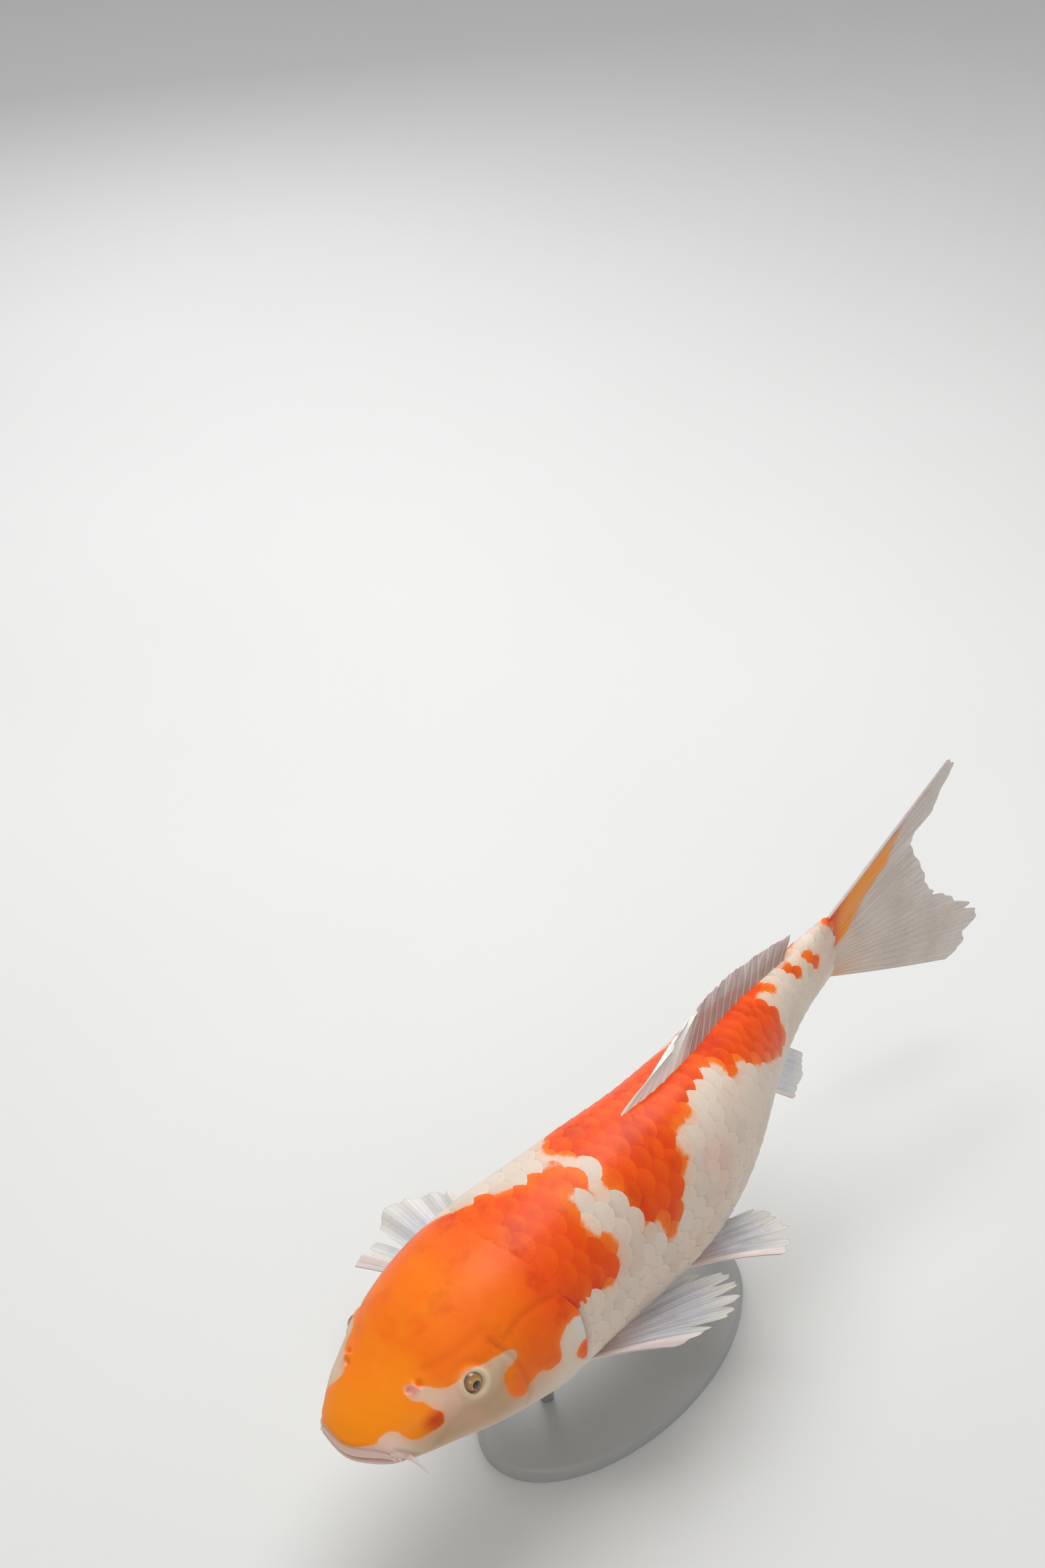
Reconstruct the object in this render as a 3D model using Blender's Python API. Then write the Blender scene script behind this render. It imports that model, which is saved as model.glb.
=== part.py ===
"""A koi carp at life size, gliding with a gentle bend, on a flat base with two short rods.

The fish faces -Y, its left side faces +X and +Z is up. The origin is the middle of the
underside of the base. Along the body a place is a station: 0 at the lips and 0.96 at the
root of the tail fin. Stations and the body's other proportions are in lengths of UNIT.
Round the body a place is an angle: 0 on the left flank, 90 on the back, 180 on the right
flank and 270 under the belly.
"""

from math import cos, pi, radians, sin

import bmesh
import bpy
import numpy as np
from mathutils import Vector

# ---- driving dimensions, in metres and degrees ----

UNIT = 0.52  # the length that stations and proportions are given in
GAP = 0.0003  # clearance between neighbouring pieces
AXIS_HEIGHT = 0.152  # of the body's axis above the floor, over the middle of the base
MIDDLE = 0.45  # the station that stands over the middle of the base
PITCH = 3.3  # nose down
# How far the body is rolled with its left side up, at stations: the head more than the trunk.
ROLLS = ((0.0, 14.5), (0.16, 14.5), (0.40, 5.5), (0.65, 4.7), (1.25, 4.7))

# The way the body heads at a station, in degrees to the left of +Y, seen tailwards.
BENDS = ((0.0, -8.5), (0.19, 0.0), (0.31, 6.0), (0.42, 6.5), (0.65, -13.3), (0.84, -6.8), (0.98, 0.5), (1.25, 10.5))

# Half width, height over the axis and depth under it.
SECTIONS = (
    # station, half width, height, depth
    (0.000, 0.025, 0.011, 0.004),  # lips
    (0.012, 0.047, 0.026, 0.010),
    (0.040, 0.068, 0.044, 0.027),
    (0.080, 0.086, 0.063, 0.046),  # nostrils
    (0.135, 0.105, 0.090, 0.073),  # eyes
    (0.190, 0.113, 0.107, 0.097),
    (0.260, 0.116, 0.120, 0.117),  # nape
    (0.350, 0.106, 0.130, 0.127),
    (0.450, 0.097, 0.137, 0.131),  # front of the dorsal fin
    (0.550, 0.089, 0.131, 0.128),
    (0.650, 0.075, 0.114, 0.114),
    (0.740, 0.056, 0.091, 0.090),  # vent
    (0.810, 0.041, 0.072, 0.071),
    (0.875, 0.030, 0.058, 0.057),  # narrowest
    (0.930, 0.021, 0.056, 0.055),
    (0.955, 0.014, 0.057, 0.056),
    (0.972, 0.007, 0.053, 0.052),  # where the tail fin grows from
)
ROUNDNESS = 0.9  # below 1 fills the corners of a section

# The rear edge of the gill covers, as (angle above the flank, station).
GILL_EDGE = ((-90, 0.200), (-65, 0.232), (-40, 0.266), (-12, 0.287), (12, 0.286), (35, 0.262), (90, 0.238))
GILL_COVER_LOW = -60
GILL_COVER_HIGH = 31
GILL_COVER_FRONT = 0.176
GILL_COVER_THICK = 0.0045

TRUNK_SPLIT = 0.50
STALK_SPLIT = 0.77
BODY_END = 0.972

EYE_STATION = 0.128
EYE_ASIDE = 0.0876
EYE_ABOVE = 0.0355
EYE_RADIUS = 0.0066

AROUND = 32  # facets round the body

STAND_LENGTH = 0.230
STAND_WIDTH = 0.124
STAND_THICK = 0.012
STAND_EDGE = 0.003
ROD_RADIUS = 0.0045
ROD_STATIONS = {"front": 0.335, "rear": 0.665}

ORANGE = (0.86, 0.24, 0.03)
WHITE = (0.82, 0.76, 0.68)
FIN_GREY = (0.66, 0.66, 0.68)


# ---- the body as a surface ----


def through(points):
    """A smooth curve through (place, value) points, which never overshoots them."""
    places, values = (np.array(column, float) for column in zip(*points))
    steps = np.diff(places)
    slopes = np.diff(values) / steps
    tangents = np.concatenate([slopes[:1], np.zeros(len(slopes) - 1), slopes[-1:]])
    for i in range(1, len(slopes)):
        if slopes[i - 1] * slopes[i] > 0:
            tangents[i] = 2 * slopes[i - 1] * slopes[i] / (slopes[i - 1] + slopes[i])

    def curve(place):
        i = int(np.clip(np.searchsorted(places, place) - 1, 0, len(steps) - 1))
        f = float(np.clip((place - places[i]) / steps[i], 0, 1))
        rise = values[i + 1] - values[i]
        start, end = tangents[i] * steps[i], tangents[i + 1] * steps[i]
        return values[i] + f * start + f * f * (3 * rise - 2 * start - end) + f**3 * (start + end - 2 * rise)

    return curve


heading = through(BENDS)
roll_at = through(ROLLS)
half_width = through([(row[0], row[1]) for row in SECTIONS])
height = through([(row[0], row[2]) for row in SECTIONS])
depth = through([(row[0], row[3]) for row in SECTIONS])
gill_edge = through(GILL_EDGE)


def make_spine(step=0.005, first=-0.05, last=1.35):
    """The stations along the body's axis and the points that they have in space."""
    stations = np.arange(first, last, step)
    angles = np.array([radians(heading(t)) for t in stations + step / 2])
    flat = np.stack([np.sin(angles), np.cos(angles)], 1) * step * UNIT
    flat = np.vstack([[0.0, 0.0], np.cumsum(flat, 0)[:-1]])
    flat -= [np.interp(MIDDLE, stations, flat[:, axis]) for axis in (0, 1)]
    tilt = radians(PITCH)
    points = np.stack([flat[:, 0], flat[:, 1] * cos(tilt), AXIS_HEIGHT + flat[:, 1] * sin(tilt)], 1)
    return stations, points


SPINE_STATIONS, SPINE_POINTS = make_spine()


def axes_at(t):
    """The body's directions at a station: tailwards, to the fish's left and up its back."""
    turn, tilt, roll = radians(heading(t)), radians(PITCH), radians(roll_at(t))
    back = Vector((sin(turn), cos(turn) * cos(tilt), cos(turn) * sin(tilt)))
    level = Vector((cos(turn), -sin(turn), 0.0))
    upright = level.cross(back)
    return back, level * cos(roll) + upright * sin(roll), upright * cos(roll) - level * sin(roll)


def place(t, aside=0.0, above=0.0):
    """The point at a station, so far to the left of the axis and so far above it."""
    centre = Vector([np.interp(t, SPINE_STATIONS, SPINE_POINTS[:, axis]) for axis in range(3)])
    _, left, up = axes_at(t)
    return centre + (left * aside + up * above) * UNIT


def rounded(value):
    """Pulls a sine or cosine towards 1, which fills a section's corners."""
    return abs(value) ** ROUNDNESS * (1 if value > 0 else -1)


def on_body(t, angle, out=0.0):
    """The point of the skin at a station and angle, or so many metres outside it."""
    side, rise = rounded(cos(radians(angle))), rounded(sin(radians(angle)))
    reach = height(t) if rise > 0 else depth(t)
    grow = out / UNIT
    return place(t, side * (half_width(t) + grow), rise * (reach + grow))


def above_flank(angle):
    """How far an angle round the body lies above the nearer flank, from -90 to 90."""
    return (angle + 90) % 360 - 90 if cos(radians(angle)) >= 0 else 90 - (angle - 90) % 360


# ---- making and joining meshes ----


def material(name, color, roughness, metallic=0.0):
    made = bpy.data.materials.new(name)
    made.use_nodes = True
    shader = made.node_tree.nodes["Principled BSDF"]
    shader.inputs["Base Color"].default_value = (*color, 1.0)
    shader.inputs["Roughness"].default_value = roughness
    shader.inputs["Metallic"].default_value = metallic
    return made


def finish(name, bm, finish_of):
    """Turns a bmesh into a smooth-shaded object with its faces outwards."""
    bmesh.ops.recalc_face_normals(bm, faces=bm.faces)
    mesh = bpy.data.meshes.new(name)
    bm.to_mesh(mesh)
    bm.free()
    mesh.shade_smooth()
    mesh.set_sharp_from_angle(angle=radians(50))
    mesh.materials.append(finish_of)
    made = bpy.data.objects.new(name, mesh)
    bpy.context.collection.objects.link(made)
    return made


def lattice(across, along, where):
    """A grid of faces, each corner put where a function of two fractions says."""
    bm = bmesh.new()
    bmesh.ops.create_grid(bm, x_segments=across, y_segments=along, size=0.5)
    for corner in bm.verts:
        corner.co = where(corner.co.x + 0.5, corner.co.y + 0.5)
    return bm


def tube(around, along, where):
    """A lattice rolled up round the body or a feeler, with its two ends closed."""
    bm = lattice(around, along, where)
    bmesh.ops.remove_doubles(bm, verts=bm.verts, dist=1e-6)
    open_edges = [edge for edge in bm.edges if edge.is_boundary]
    caps = bmesh.ops.holes_fill(bm, edges=open_edges, sides=0)["faces"]
    bmesh.ops.poke(bm, faces=caps)
    return bm


def thicken(bm, outer, inner):
    """Gives a lattice a wall: each corner makes one point outer and one point inner."""
    near, far = (bm.verts.layers.float_vector.new(side) for side in ("near", "far"))
    bm.normal_update()
    for corner in bm.verts:
        corner[near], corner[far] = outer(corner), inner(corner)
    grown = bmesh.ops.extrude_face_region(bm, geom=bm.faces[:])["geom"]
    copies = {part for part in grown if isinstance(part, bmesh.types.BMVert)}
    for corner in bm.verts:
        corner.co = corner[far] if corner in copies else corner[near]
    return bm


def cut(target, cutter):
    modifier = target.modifiers.new("cut_" + cutter.name, "BOOLEAN")
    modifier.operation = "DIFFERENCE"
    modifier.solver = "EXACT"
    modifier.object = cutter


def as_cutter(made):
    made.hide_render = True
    made.display_type = "WIRE"
    return made


def stretch(name, start, end, rings, finish_of, out=0.0):
    """A length of the body between two edges, each a function of the angle round it."""

    def where(across, along):
        angle = 360 * across
        first, last = start(angle), end(angle)
        return on_body(first + (last - first) * along, angle, out)

    return finish(name, tube(AROUND, rings, where), finish_of)


# ---- the flesh: head, jaw, gill covers and trunk ----

HALF_GAP = 0.7 * GAP / UNIT
SIDES = {"left": 1, "right": -1}


def gill_station(angle):
    return gill_edge(above_flank(angle))


def gill_cover(name, side, finish_of, spare=0.0):
    """A curved plate that ends at the gill opening. spare makes the pocket cut for it."""
    edge = spare / UNIT
    margin = 360 * spare / (2 * pi * 0.1 * UNIT)

    def skin_place(across, along):
        angle = GILL_COVER_LOW - margin + (GILL_COVER_HIGH - GILL_COVER_LOW + 2 * margin) * across
        front = GILL_COVER_FRONT - edge + 0.020 * (2 * across - 1) ** 4
        rear = gill_edge(angle) + 0.002 + 10 * edge
        return front + (rear - front) * along, angle if side > 0 else 180 - angle

    places = {}

    def where(across, along):
        t, angle = skin_place(across, along)
        point = on_body(t, angle)
        places[tuple(round(c, 6) for c in point)] = (t, angle)
        return point

    def raised(out):
        return lambda corner: on_body(*places[tuple(round(c, 6) for c in corner.co)], out)

    bm = lattice(9, 8, where)
    thicken(bm, raised(5 * spare), raised(-GILL_COVER_THICK - spare))
    return finish(name, bm, finish_of)


def eye(name, side, finish_of, spare=0.0):
    bm = bmesh.new()
    bmesh.ops.create_uvsphere(bm, u_segments=16, v_segments=10, radius=EYE_RADIUS + spare)
    made = finish(name, bm, finish_of)
    made.location = place(EYE_STATION, side * EYE_ASIDE, EYE_ABOVE)
    made.rotation_euler = (0, side * pi / 2, 0)
    return made


def jaw_block(name, finish_of, spare=0.0):
    """The wedge of space below the mouth line that the lower jaw fills."""
    edge = spare / UNIT
    profile = (
        (-0.02, 0.001 + edge),
        (0.030, -0.006 + edge),
        (0.058 + edge, -0.020 + edge),
        (0.092 + edge, -0.10),
        (-0.02, -0.10),
    )
    bm = bmesh.new()
    corners = [bm.verts.new(place(t, -0.09, above)) for t, above in profile]
    side = bm.faces.new(corners)
    grown = bmesh.ops.extrude_face_region(bm, geom=[side])["geom"]
    moved = [part for part in grown if isinstance(part, bmesh.types.BMVert)]
    _, left, _ = axes_at(0.04)
    bmesh.ops.translate(bm, verts=moved, vec=left * 0.18 * UNIT)
    return as_cutter(finish(name, bm, finish_of))


def make_flesh(skin, pale):
    """The fleshy nodes, and the slightly larger body that trims what grows from it."""
    grown = stretch("trim_body", lambda a: 0.0, lambda a: BODY_END, 50, skin, out=GAP)
    as_cutter(grown)
    head = stretch("head", lambda a: 0.0, lambda a: gill_station(a) - HALF_GAP, 15, skin)
    cut(head, jaw_block("jaw_clearance", pale, GAP))
    split, rear = TRUNK_SPLIT, STALK_SPLIT
    stretch("trunk_front", lambda a: gill_station(a) + HALF_GAP, lambda a: split - HALF_GAP, 10, skin)
    stretch("trunk_rear", lambda a: split + HALF_GAP, lambda a: rear - HALF_GAP, 10, skin)
    stretch("tail_stalk", lambda a: rear + HALF_GAP, lambda a: BODY_END, 7, skin)
    opening = stretch("gill_opening", lambda a: gill_station(a) - HALF_GAP, lambda a: 0.4, 6, skin, out=0.001)
    as_cutter(opening)
    for word, side in SIDES.items():
        cut(gill_cover("gill_cover_" + word, side, pale), opening)
        cut(head, as_cutter(gill_cover("pocket_" + word, side, pale, GAP)))
        cut(head, as_cutter(eye("socket_" + word, side, pale, GAP)))
    jaw = stretch("lower_jaw", lambda a: 0.0, lambda a: 0.12, 8, pale)
    meet = jaw.modifiers.new("below_mouth", "BOOLEAN")
    meet.operation = "INTERSECT"
    meet.solver = "EXACT"
    meet.object = jaw_block("jaw_space", pale)
    return grown


# ---- the fins ----


def fin(name, rays, across, along, root_thick, edge_thick, finish_of, grown):
    """A fan of rays: rays(fraction) gives a ray's root, its tip and how far it bows."""

    def where(fraction, out):
        root, tip, bow = rays(fraction)
        return root.lerp(tip, out) + bow * (4 * out * (1 - out))

    bm = bmesh.new()
    bmesh.ops.create_grid(bm, x_segments=across, y_segments=along, size=0.5)
    half = []
    for corner in bm.verts:
        fraction, out = corner.co.x + 0.5, min(corner.co.y + 0.5, 1.0)
        corner.co = where(fraction, max(out, 0.0))
        half.append((root_thick + (edge_thick - root_thick) * max(out, 0.0) ** 0.7) / 2)
    bm.verts.index_update()
    thicken(bm, lambda c: c.co + c.normal * half[c.index], lambda c: c.co - c.normal * half[c.index])
    made = finish(name, bm, finish_of)
    cut(made, grown)
    return made


def median_rays(roots, tips, bow):
    """Rays of a fin on the midline. roots and tips give (station, aside, above) at a fraction."""
    return lambda f: (place(*roots(f)), place(*tips(f)), bow(f))


DORSAL_BASE = (0.447, 0.852)
# fraction along the base, how far back each ray ends, its height over the back, its lean to the right
DORSAL_TIPS = (
    (0.0, 0.132, 0.027, 0.006),
    (0.15, 0.118, 0.032, 0.014),
    (0.45, 0.075, 0.029, 0.020),
    (0.75, 0.055, 0.025, 0.018),
    (1.0, 0.040, 0.014, 0.010),
)


def dorsal_rays():
    back = through([(f, b) for f, b, _, _ in DORSAL_TIPS])
    rise = through([(f, u) for f, _, u, _ in DORSAL_TIPS])
    lean = through([(f, s) for f, _, _, s in DORSAL_TIPS])

    def station(f):
        return DORSAL_BASE[0] + (DORSAL_BASE[1] - DORSAL_BASE[0]) * f

    def roots(f):
        return station(f), 0.0, height(station(f)) - 0.012

    def tips(f):
        end = station(f) + back(f)
        return end, -lean(f), height(end) + rise(f)

    bow = axes_at(0.6)[2] * 0.004
    return median_rays(roots, tips, lambda f: bow)


ANAL_BASE = (0.755, 0.822)
ANAL_TIPS = ((0.0, 0.085, 0.088), (0.4, 0.075, 0.072), (1.0, 0.045, 0.040))


def anal_rays():
    back = through([(f, b) for f, b, _ in ANAL_TIPS])
    drop = through([(f, d) for f, _, d in ANAL_TIPS])

    def station(f):
        return ANAL_BASE[0] + (ANAL_BASE[1] - ANAL_BASE[0]) * f

    def roots(f):
        return station(f), 0.0, 0.012 - depth(station(f))

    def tips(f):
        return station(f) + back(f), 0.020, -depth(station(f)) - drop(f)

    bow = axes_at(0.8)[1] * -0.002
    return median_rays(roots, tips, lambda f: bow)


# fraction from the outer ray to the fork, station of its tip, height of its tip, its lean to the left
TAIL_TIPS = {
    "upper": (
        (0.0, 1.240, 0.150, -0.014),
        (0.12, 1.242, 0.139, -0.014),
        (0.35, 1.192, 0.098, -0.006),
        (0.7, 1.165, 0.046, -0.016),
        (1.0, 1.158, -0.0062, 0.010),
    ),
    "lower": (
        (0.0, 1.172, 0.140, 0.046),
        (0.12, 1.208, 0.131, 0.043),
        (0.35, 1.236, 0.096, 0.037),
        (0.7, 1.200, 0.050, 0.026),
        (1.0, 1.158, 0.0098, 0.010),
    ),
}
TAIL_BOW = 0.001
TAIL_ROOT = 0.958
TAIL_ROOT_HALF = 0.050


def tail_rays(lobe):
    reach = through([(f, t) for f, t, _, _ in TAIL_TIPS[lobe]])
    spread = through([(f, u) for f, _, u, _ in TAIL_TIPS[lobe]])
    lean = through([(f, a) for f, _, _, a in TAIL_TIPS[lobe]])
    side = 1 if lobe == "upper" else -1
    up = axes_at(1.0)[2] * side * TAIL_BOW

    def roots(f):
        return TAIL_ROOT, 0.0, side * (TAIL_ROOT_HALF * (1 - f) + 0.0008)

    def tips(f):
        return reach(f), lean(f), side * spread(f)

    return median_rays(roots, tips, lambda f: up * (1 - f))


# fraction from the leading ray, length, degrees out from the body's axis, degrees below level
PECTORAL_TIPS = {
    "left": (
        (0.0, 0.130, 28, 10),
        (0.2, 0.195, 22, 7.5),
        (0.45, 0.230, 17, 4.5),
        (0.75, 0.215, 11, 1.5),
        (1.0, 0.155, 5, -1.5),
    ),
    "right": (
        (0.0, 0.226, 102, 11.5),
        (0.2, 0.226, 94, 5.5),
        (0.45, 0.238, 85, -0.5),
        (0.75, 0.208, 74, -6),
        (1.0, 0.166, 68, -10),
    ),
}
PECTORAL_ROOTS = ((0.283, -47), (0.312, -60))
PELVIC_TIPS = {
    "left": ((0.0, 0.148, 36, 4), (0.3, 0.162, 27, 1), (0.7, 0.150, 16, 0), (1.0, 0.105, 7, 4)),
    "right": ((0.0, 0.148, 36, 12), (0.3, 0.160, 27, 11), (0.7, 0.140, 16, 12), (1.0, 0.095, 7, 14)),
}
PELVIC_ROOTS = ((0.470, -58), (0.492, -74))


def paired_rays(side, roots, table, bow):
    """Rays of a fin on one side, which spread out sideways and droop a little."""
    length = through([(f, long) for f, long, _, _ in table])
    sweep = through([(f, out) for f, _, out, _ in table])
    droop = through([(f, down) for f, _, _, down in table])
    (first, first_angle), (last, last_angle) = roots
    back, left, up = axes_at((first + last) / 2)

    def rays(f):
        angle = first_angle + (last_angle - first_angle) * f
        root = on_body(first + (last - first) * f, angle if side > 0 else 180 - angle, -0.006)
        out, down = radians(sweep(f)), radians(droop(f))
        way = (back * cos(out) + left * side * sin(out)) * cos(down) - up * sin(down)
        return root, root + way * length(f) * UNIT, up * bow

    return rays


def make_fins(grown, finish_of):
    fin("dorsal_fin", dorsal_rays(), 18, 4, 0.0034, 0.0009, finish_of, grown)
    fin("anal_fin", anal_rays(), 8, 6, 0.0030, 0.0008, finish_of, grown)
    for lobe in TAIL_TIPS:
        fin("tail_fin_" + lobe, tail_rays(lobe), 10, 8, 0.0040, 0.0009, finish_of, grown)
    for word, side in SIDES.items():
        rays = paired_rays(side, PECTORAL_ROOTS, PECTORAL_TIPS[word], 0.004)
        fin("pectoral_fin_" + word, rays, 11, 7, 0.0036, 0.0009, finish_of, grown)
        rays = paired_rays(side, PELVIC_ROOTS, PELVIC_TIPS[word], 0.003)
        fin("pelvic_fin_" + word, rays, 9, 6, 0.0032, 0.0008, finish_of, grown)


# ---- the feelers ----

# name, station and angle of the root, (out, down, back) of the tip from it, root radius
FEELERS = (
    ("barbel_upper", 0.021, 14, (0.005, 0.006, 0.001), 0.0010),
    ("barbel_corner", 0.032, -4, (0.010, 0.013, 0.002), 0.0016),
)
FEELER_TIP_RADIUS = 0.0006


def feeler(name, side, station, angle, reach, radius, finish_of, grown):
    """A soft tapering feeler that leaves the lip sideways and curves downwards."""
    back, left, up = axes_at(station)
    root = on_body(station, angle if side > 0 else 180 - angle, -0.003)
    out, down, rear = reach
    middle = root + left * side * out * 0.8 - up * down * 0.2
    tip = root + left * side * out - up * down + back * rear

    def centre(s):
        return root * (1 - s) ** 2 + middle * 2 * s * (1 - s) + tip * s**2

    def where(across, along):
        ahead = (centre(along + 0.01) - centre(along - 0.01)).normalized()
        first = ahead.cross(back).normalized()
        second = ahead.cross(first)
        thick = radius + (FEELER_TIP_RADIUS - radius) * along
        turn = 2 * pi * across
        return centre(along) + (first * cos(turn) + second * sin(turn)) * thick

    made = finish(name, tube(8, 7, where), finish_of)
    cut(made, grown)
    return made


# ---- the stand ----


def make_stand(grown, paint, steel):
    bm = bmesh.new()
    bmesh.ops.create_cone(bm, cap_ends=True, segments=48, radius1=0.5, radius2=0.5, depth=STAND_THICK)
    bmesh.ops.scale(bm, vec=(STAND_WIDTH, STAND_LENGTH, 1), verts=bm.verts)
    rim = [edge for edge in bm.edges if all(corner.co.z > 0 for corner in edge.verts)]
    bmesh.ops.bevel(bm, geom=rim, offset=STAND_EDGE, segments=2, affect="EDGES", profile=0.5, material=-1)
    base = finish("stand_base", bm, paint)
    base.location = (0, 0, STAND_THICK / 2)
    for word, station in ROD_STATIONS.items():
        top = place(station)
        foot = STAND_THICK + GAP
        long = top.z - foot
        bm = bmesh.new()
        bmesh.ops.create_cone(bm, cap_ends=True, segments=20, radius1=ROD_RADIUS, radius2=ROD_RADIUS, depth=long)
        rod = finish("stand_rod_" + word, bm, steel)
        rod.location = (top.x, top.y, foot + long / 2)
        cut(rod, grown)


def main():
    for old in list(bpy.data.objects):
        bpy.data.objects.remove(old)
    skin = material("koi_skin", ORANGE, 0.35)
    pale = material("koi_pale_skin", WHITE, 0.35)
    membrane = material("fin_membrane", FIN_GREY, 0.30)
    iris = material("eye", (0.10, 0.08, 0.05), 0.08)
    pale_grey = material("stand_base_finish", (0.42, 0.42, 0.41), 0.45)
    steel = material("stand_rod_finish", (0.62, 0.62, 0.64), 0.25, 1.0)
    grown = make_flesh(skin, pale)
    for word, side in SIDES.items():
        eye("eye_" + word, side, iris)
        for name, station, angle, reach, radius in FEELERS:
            feeler(f"{name}_{word}", side, station, angle, reach, radius, pale, grown)
    make_fins(grown, membrane)
    make_stand(grown, pale_grey, steel)


main()
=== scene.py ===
# %% [markdown]
# # A koi carp, life-size museum model
#
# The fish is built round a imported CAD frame, which gives its size and pose. Here it gets
# what makes it a koi: one continuous skin with lips, nostrils, eye rims and gill covers,
# a coat of overlapping scales, pleated translucent fins, glassy eyes and painted markings.
# Everything is in metres. The fish faces -Y, its left side faces +X and +Z is up.

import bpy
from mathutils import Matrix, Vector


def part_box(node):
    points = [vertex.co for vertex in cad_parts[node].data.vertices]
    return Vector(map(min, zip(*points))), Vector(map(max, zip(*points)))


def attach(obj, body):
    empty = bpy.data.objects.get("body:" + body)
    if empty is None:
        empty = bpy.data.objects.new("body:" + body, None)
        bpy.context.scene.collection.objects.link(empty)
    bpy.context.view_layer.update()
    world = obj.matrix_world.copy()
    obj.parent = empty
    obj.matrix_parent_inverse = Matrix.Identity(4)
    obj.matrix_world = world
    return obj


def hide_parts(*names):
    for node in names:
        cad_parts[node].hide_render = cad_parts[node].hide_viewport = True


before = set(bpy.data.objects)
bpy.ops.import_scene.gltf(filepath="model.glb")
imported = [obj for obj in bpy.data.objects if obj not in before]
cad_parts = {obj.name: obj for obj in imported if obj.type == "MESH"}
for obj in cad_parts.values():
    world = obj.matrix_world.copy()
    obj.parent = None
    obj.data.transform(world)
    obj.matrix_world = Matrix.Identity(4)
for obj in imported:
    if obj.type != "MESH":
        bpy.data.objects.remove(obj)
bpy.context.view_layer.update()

from math import cos, pi, radians, sin

import bmesh
import bpy
import numpy as np
from mathutils import Vector

# %% [markdown]
# ## The body as a surface
#
# A fish's body is a tube of changing oval section on a gently bent axis. It could be
# sculpted, but a surface that a function gives lets the skin, the scales, the fins and
# the markings all be placed by the same two numbers. The station runs from 0 at the lips
# to 0.96 at the root of the tail fin. The angle is 0 on the left flank, 90 on the back,
# 180 on the right flank and -90 or 270 under the belly. These functions repeat the ones
# that the solids were made with, but take whole arrays at once.

# %% Driving dimensions of the body
UNIT = 0.52  # the length that stations and proportions are given in
AXIS_HEIGHT = 0.152  # of the body's axis over the floor, at the station MIDDLE
MIDDLE = 0.45
PITCH = 3.3  # the degrees that the tail is raised by
# station and roll in degrees, left side up
ROLLS = ((0.0, 14.5), (0.16, 14.5), (0.40, 5.5), (0.65, 4.7), (1.25, 4.7))
BODY_END = 0.972
# station and turn in degrees: the S bend that the body swims in
BENDS = (
    (0.0, -8.5), (0.19, 0.0), (0.31, 6.0), (0.42, 6.5), (0.65, -13.3), (0.84, -6.8), (0.98, 0.5),
    (1.25, 10.5),
)
SECTIONS = (
    # station, half width, height over the axis, depth under it
    (0.000, 0.025, 0.011, 0.004),
    (0.012, 0.047, 0.026, 0.010),
    (0.040, 0.068, 0.044, 0.027),
    (0.080, 0.086, 0.063, 0.046),
    (0.135, 0.105, 0.090, 0.073),
    (0.190, 0.113, 0.107, 0.097),
    (0.260, 0.116, 0.120, 0.117),
    (0.350, 0.106, 0.130, 0.127),
    (0.450, 0.097, 0.137, 0.131),
    (0.550, 0.089, 0.131, 0.128),
    (0.650, 0.075, 0.114, 0.114),
    (0.740, 0.056, 0.091, 0.090),
    (0.810, 0.041, 0.072, 0.071),
    (0.875, 0.030, 0.058, 0.057),
    (0.930, 0.021, 0.056, 0.055),
    (0.955, 0.014, 0.057, 0.056),
    (0.972, 0.007, 0.053, 0.052),
)
ROUNDNESS = 0.9
# angle above the flank, and the station of the gill covers' rear edge there
GILL_EDGE = ((-90, 0.200), (-65, 0.232), (-40, 0.266), (-12, 0.287), (12, 0.286), (35, 0.262), (90, 0.238))


def through(points):
    """A smooth curve through (place, value) points, which never overshoots them."""
    places, values = (np.array(column, float) for column in zip(*points))
    steps = np.diff(places)
    slopes = np.diff(values) / steps
    tangents = np.concatenate([slopes[:1], np.zeros(len(slopes) - 1), slopes[-1:]])
    for i in range(1, len(slopes)):
        if slopes[i - 1] * slopes[i] > 0:
            tangents[i] = 2 * slopes[i - 1] * slopes[i] / (slopes[i - 1] + slopes[i])

    def curve(place):
        i = np.clip(np.searchsorted(places, place) - 1, 0, len(steps) - 1)
        f = np.clip((place - places[i]) / steps[i], 0, 1)
        rise = values[i + 1] - values[i]
        start, end = tangents[i] * steps[i], tangents[i + 1] * steps[i]
        return values[i] + f * start + f * f * (3 * rise - 2 * start - end) + f**3 * (start + end - 2 * rise)

    return curve


heading = through(BENDS)
roll_at = through(ROLLS)
half_width = through([(row[0], row[1]) for row in SECTIONS])
height = through([(row[0], row[2]) for row in SECTIONS])
depth = through([(row[0], row[3]) for row in SECTIONS])
gill_edge = through(GILL_EDGE)

# %% Places on the body
STEP = 0.005
SPINE_STATIONS = np.arange(-0.05, 1.35, STEP)


def make_spine():
    angles = np.radians(heading(SPINE_STATIONS + STEP / 2))
    flat = np.stack([np.sin(angles), np.cos(angles)], 1) * STEP * UNIT
    flat = np.vstack([[0.0, 0.0], np.cumsum(flat, 0)[:-1]])
    flat -= [np.interp(MIDDLE, SPINE_STATIONS, flat[:, axis]) for axis in (0, 1)]
    tilt = radians(PITCH)
    return np.stack([flat[:, 0], flat[:, 1] * cos(tilt), AXIS_HEIGHT + flat[:, 1] * sin(tilt)], 1)


SPINE_POINTS = make_spine()


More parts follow.
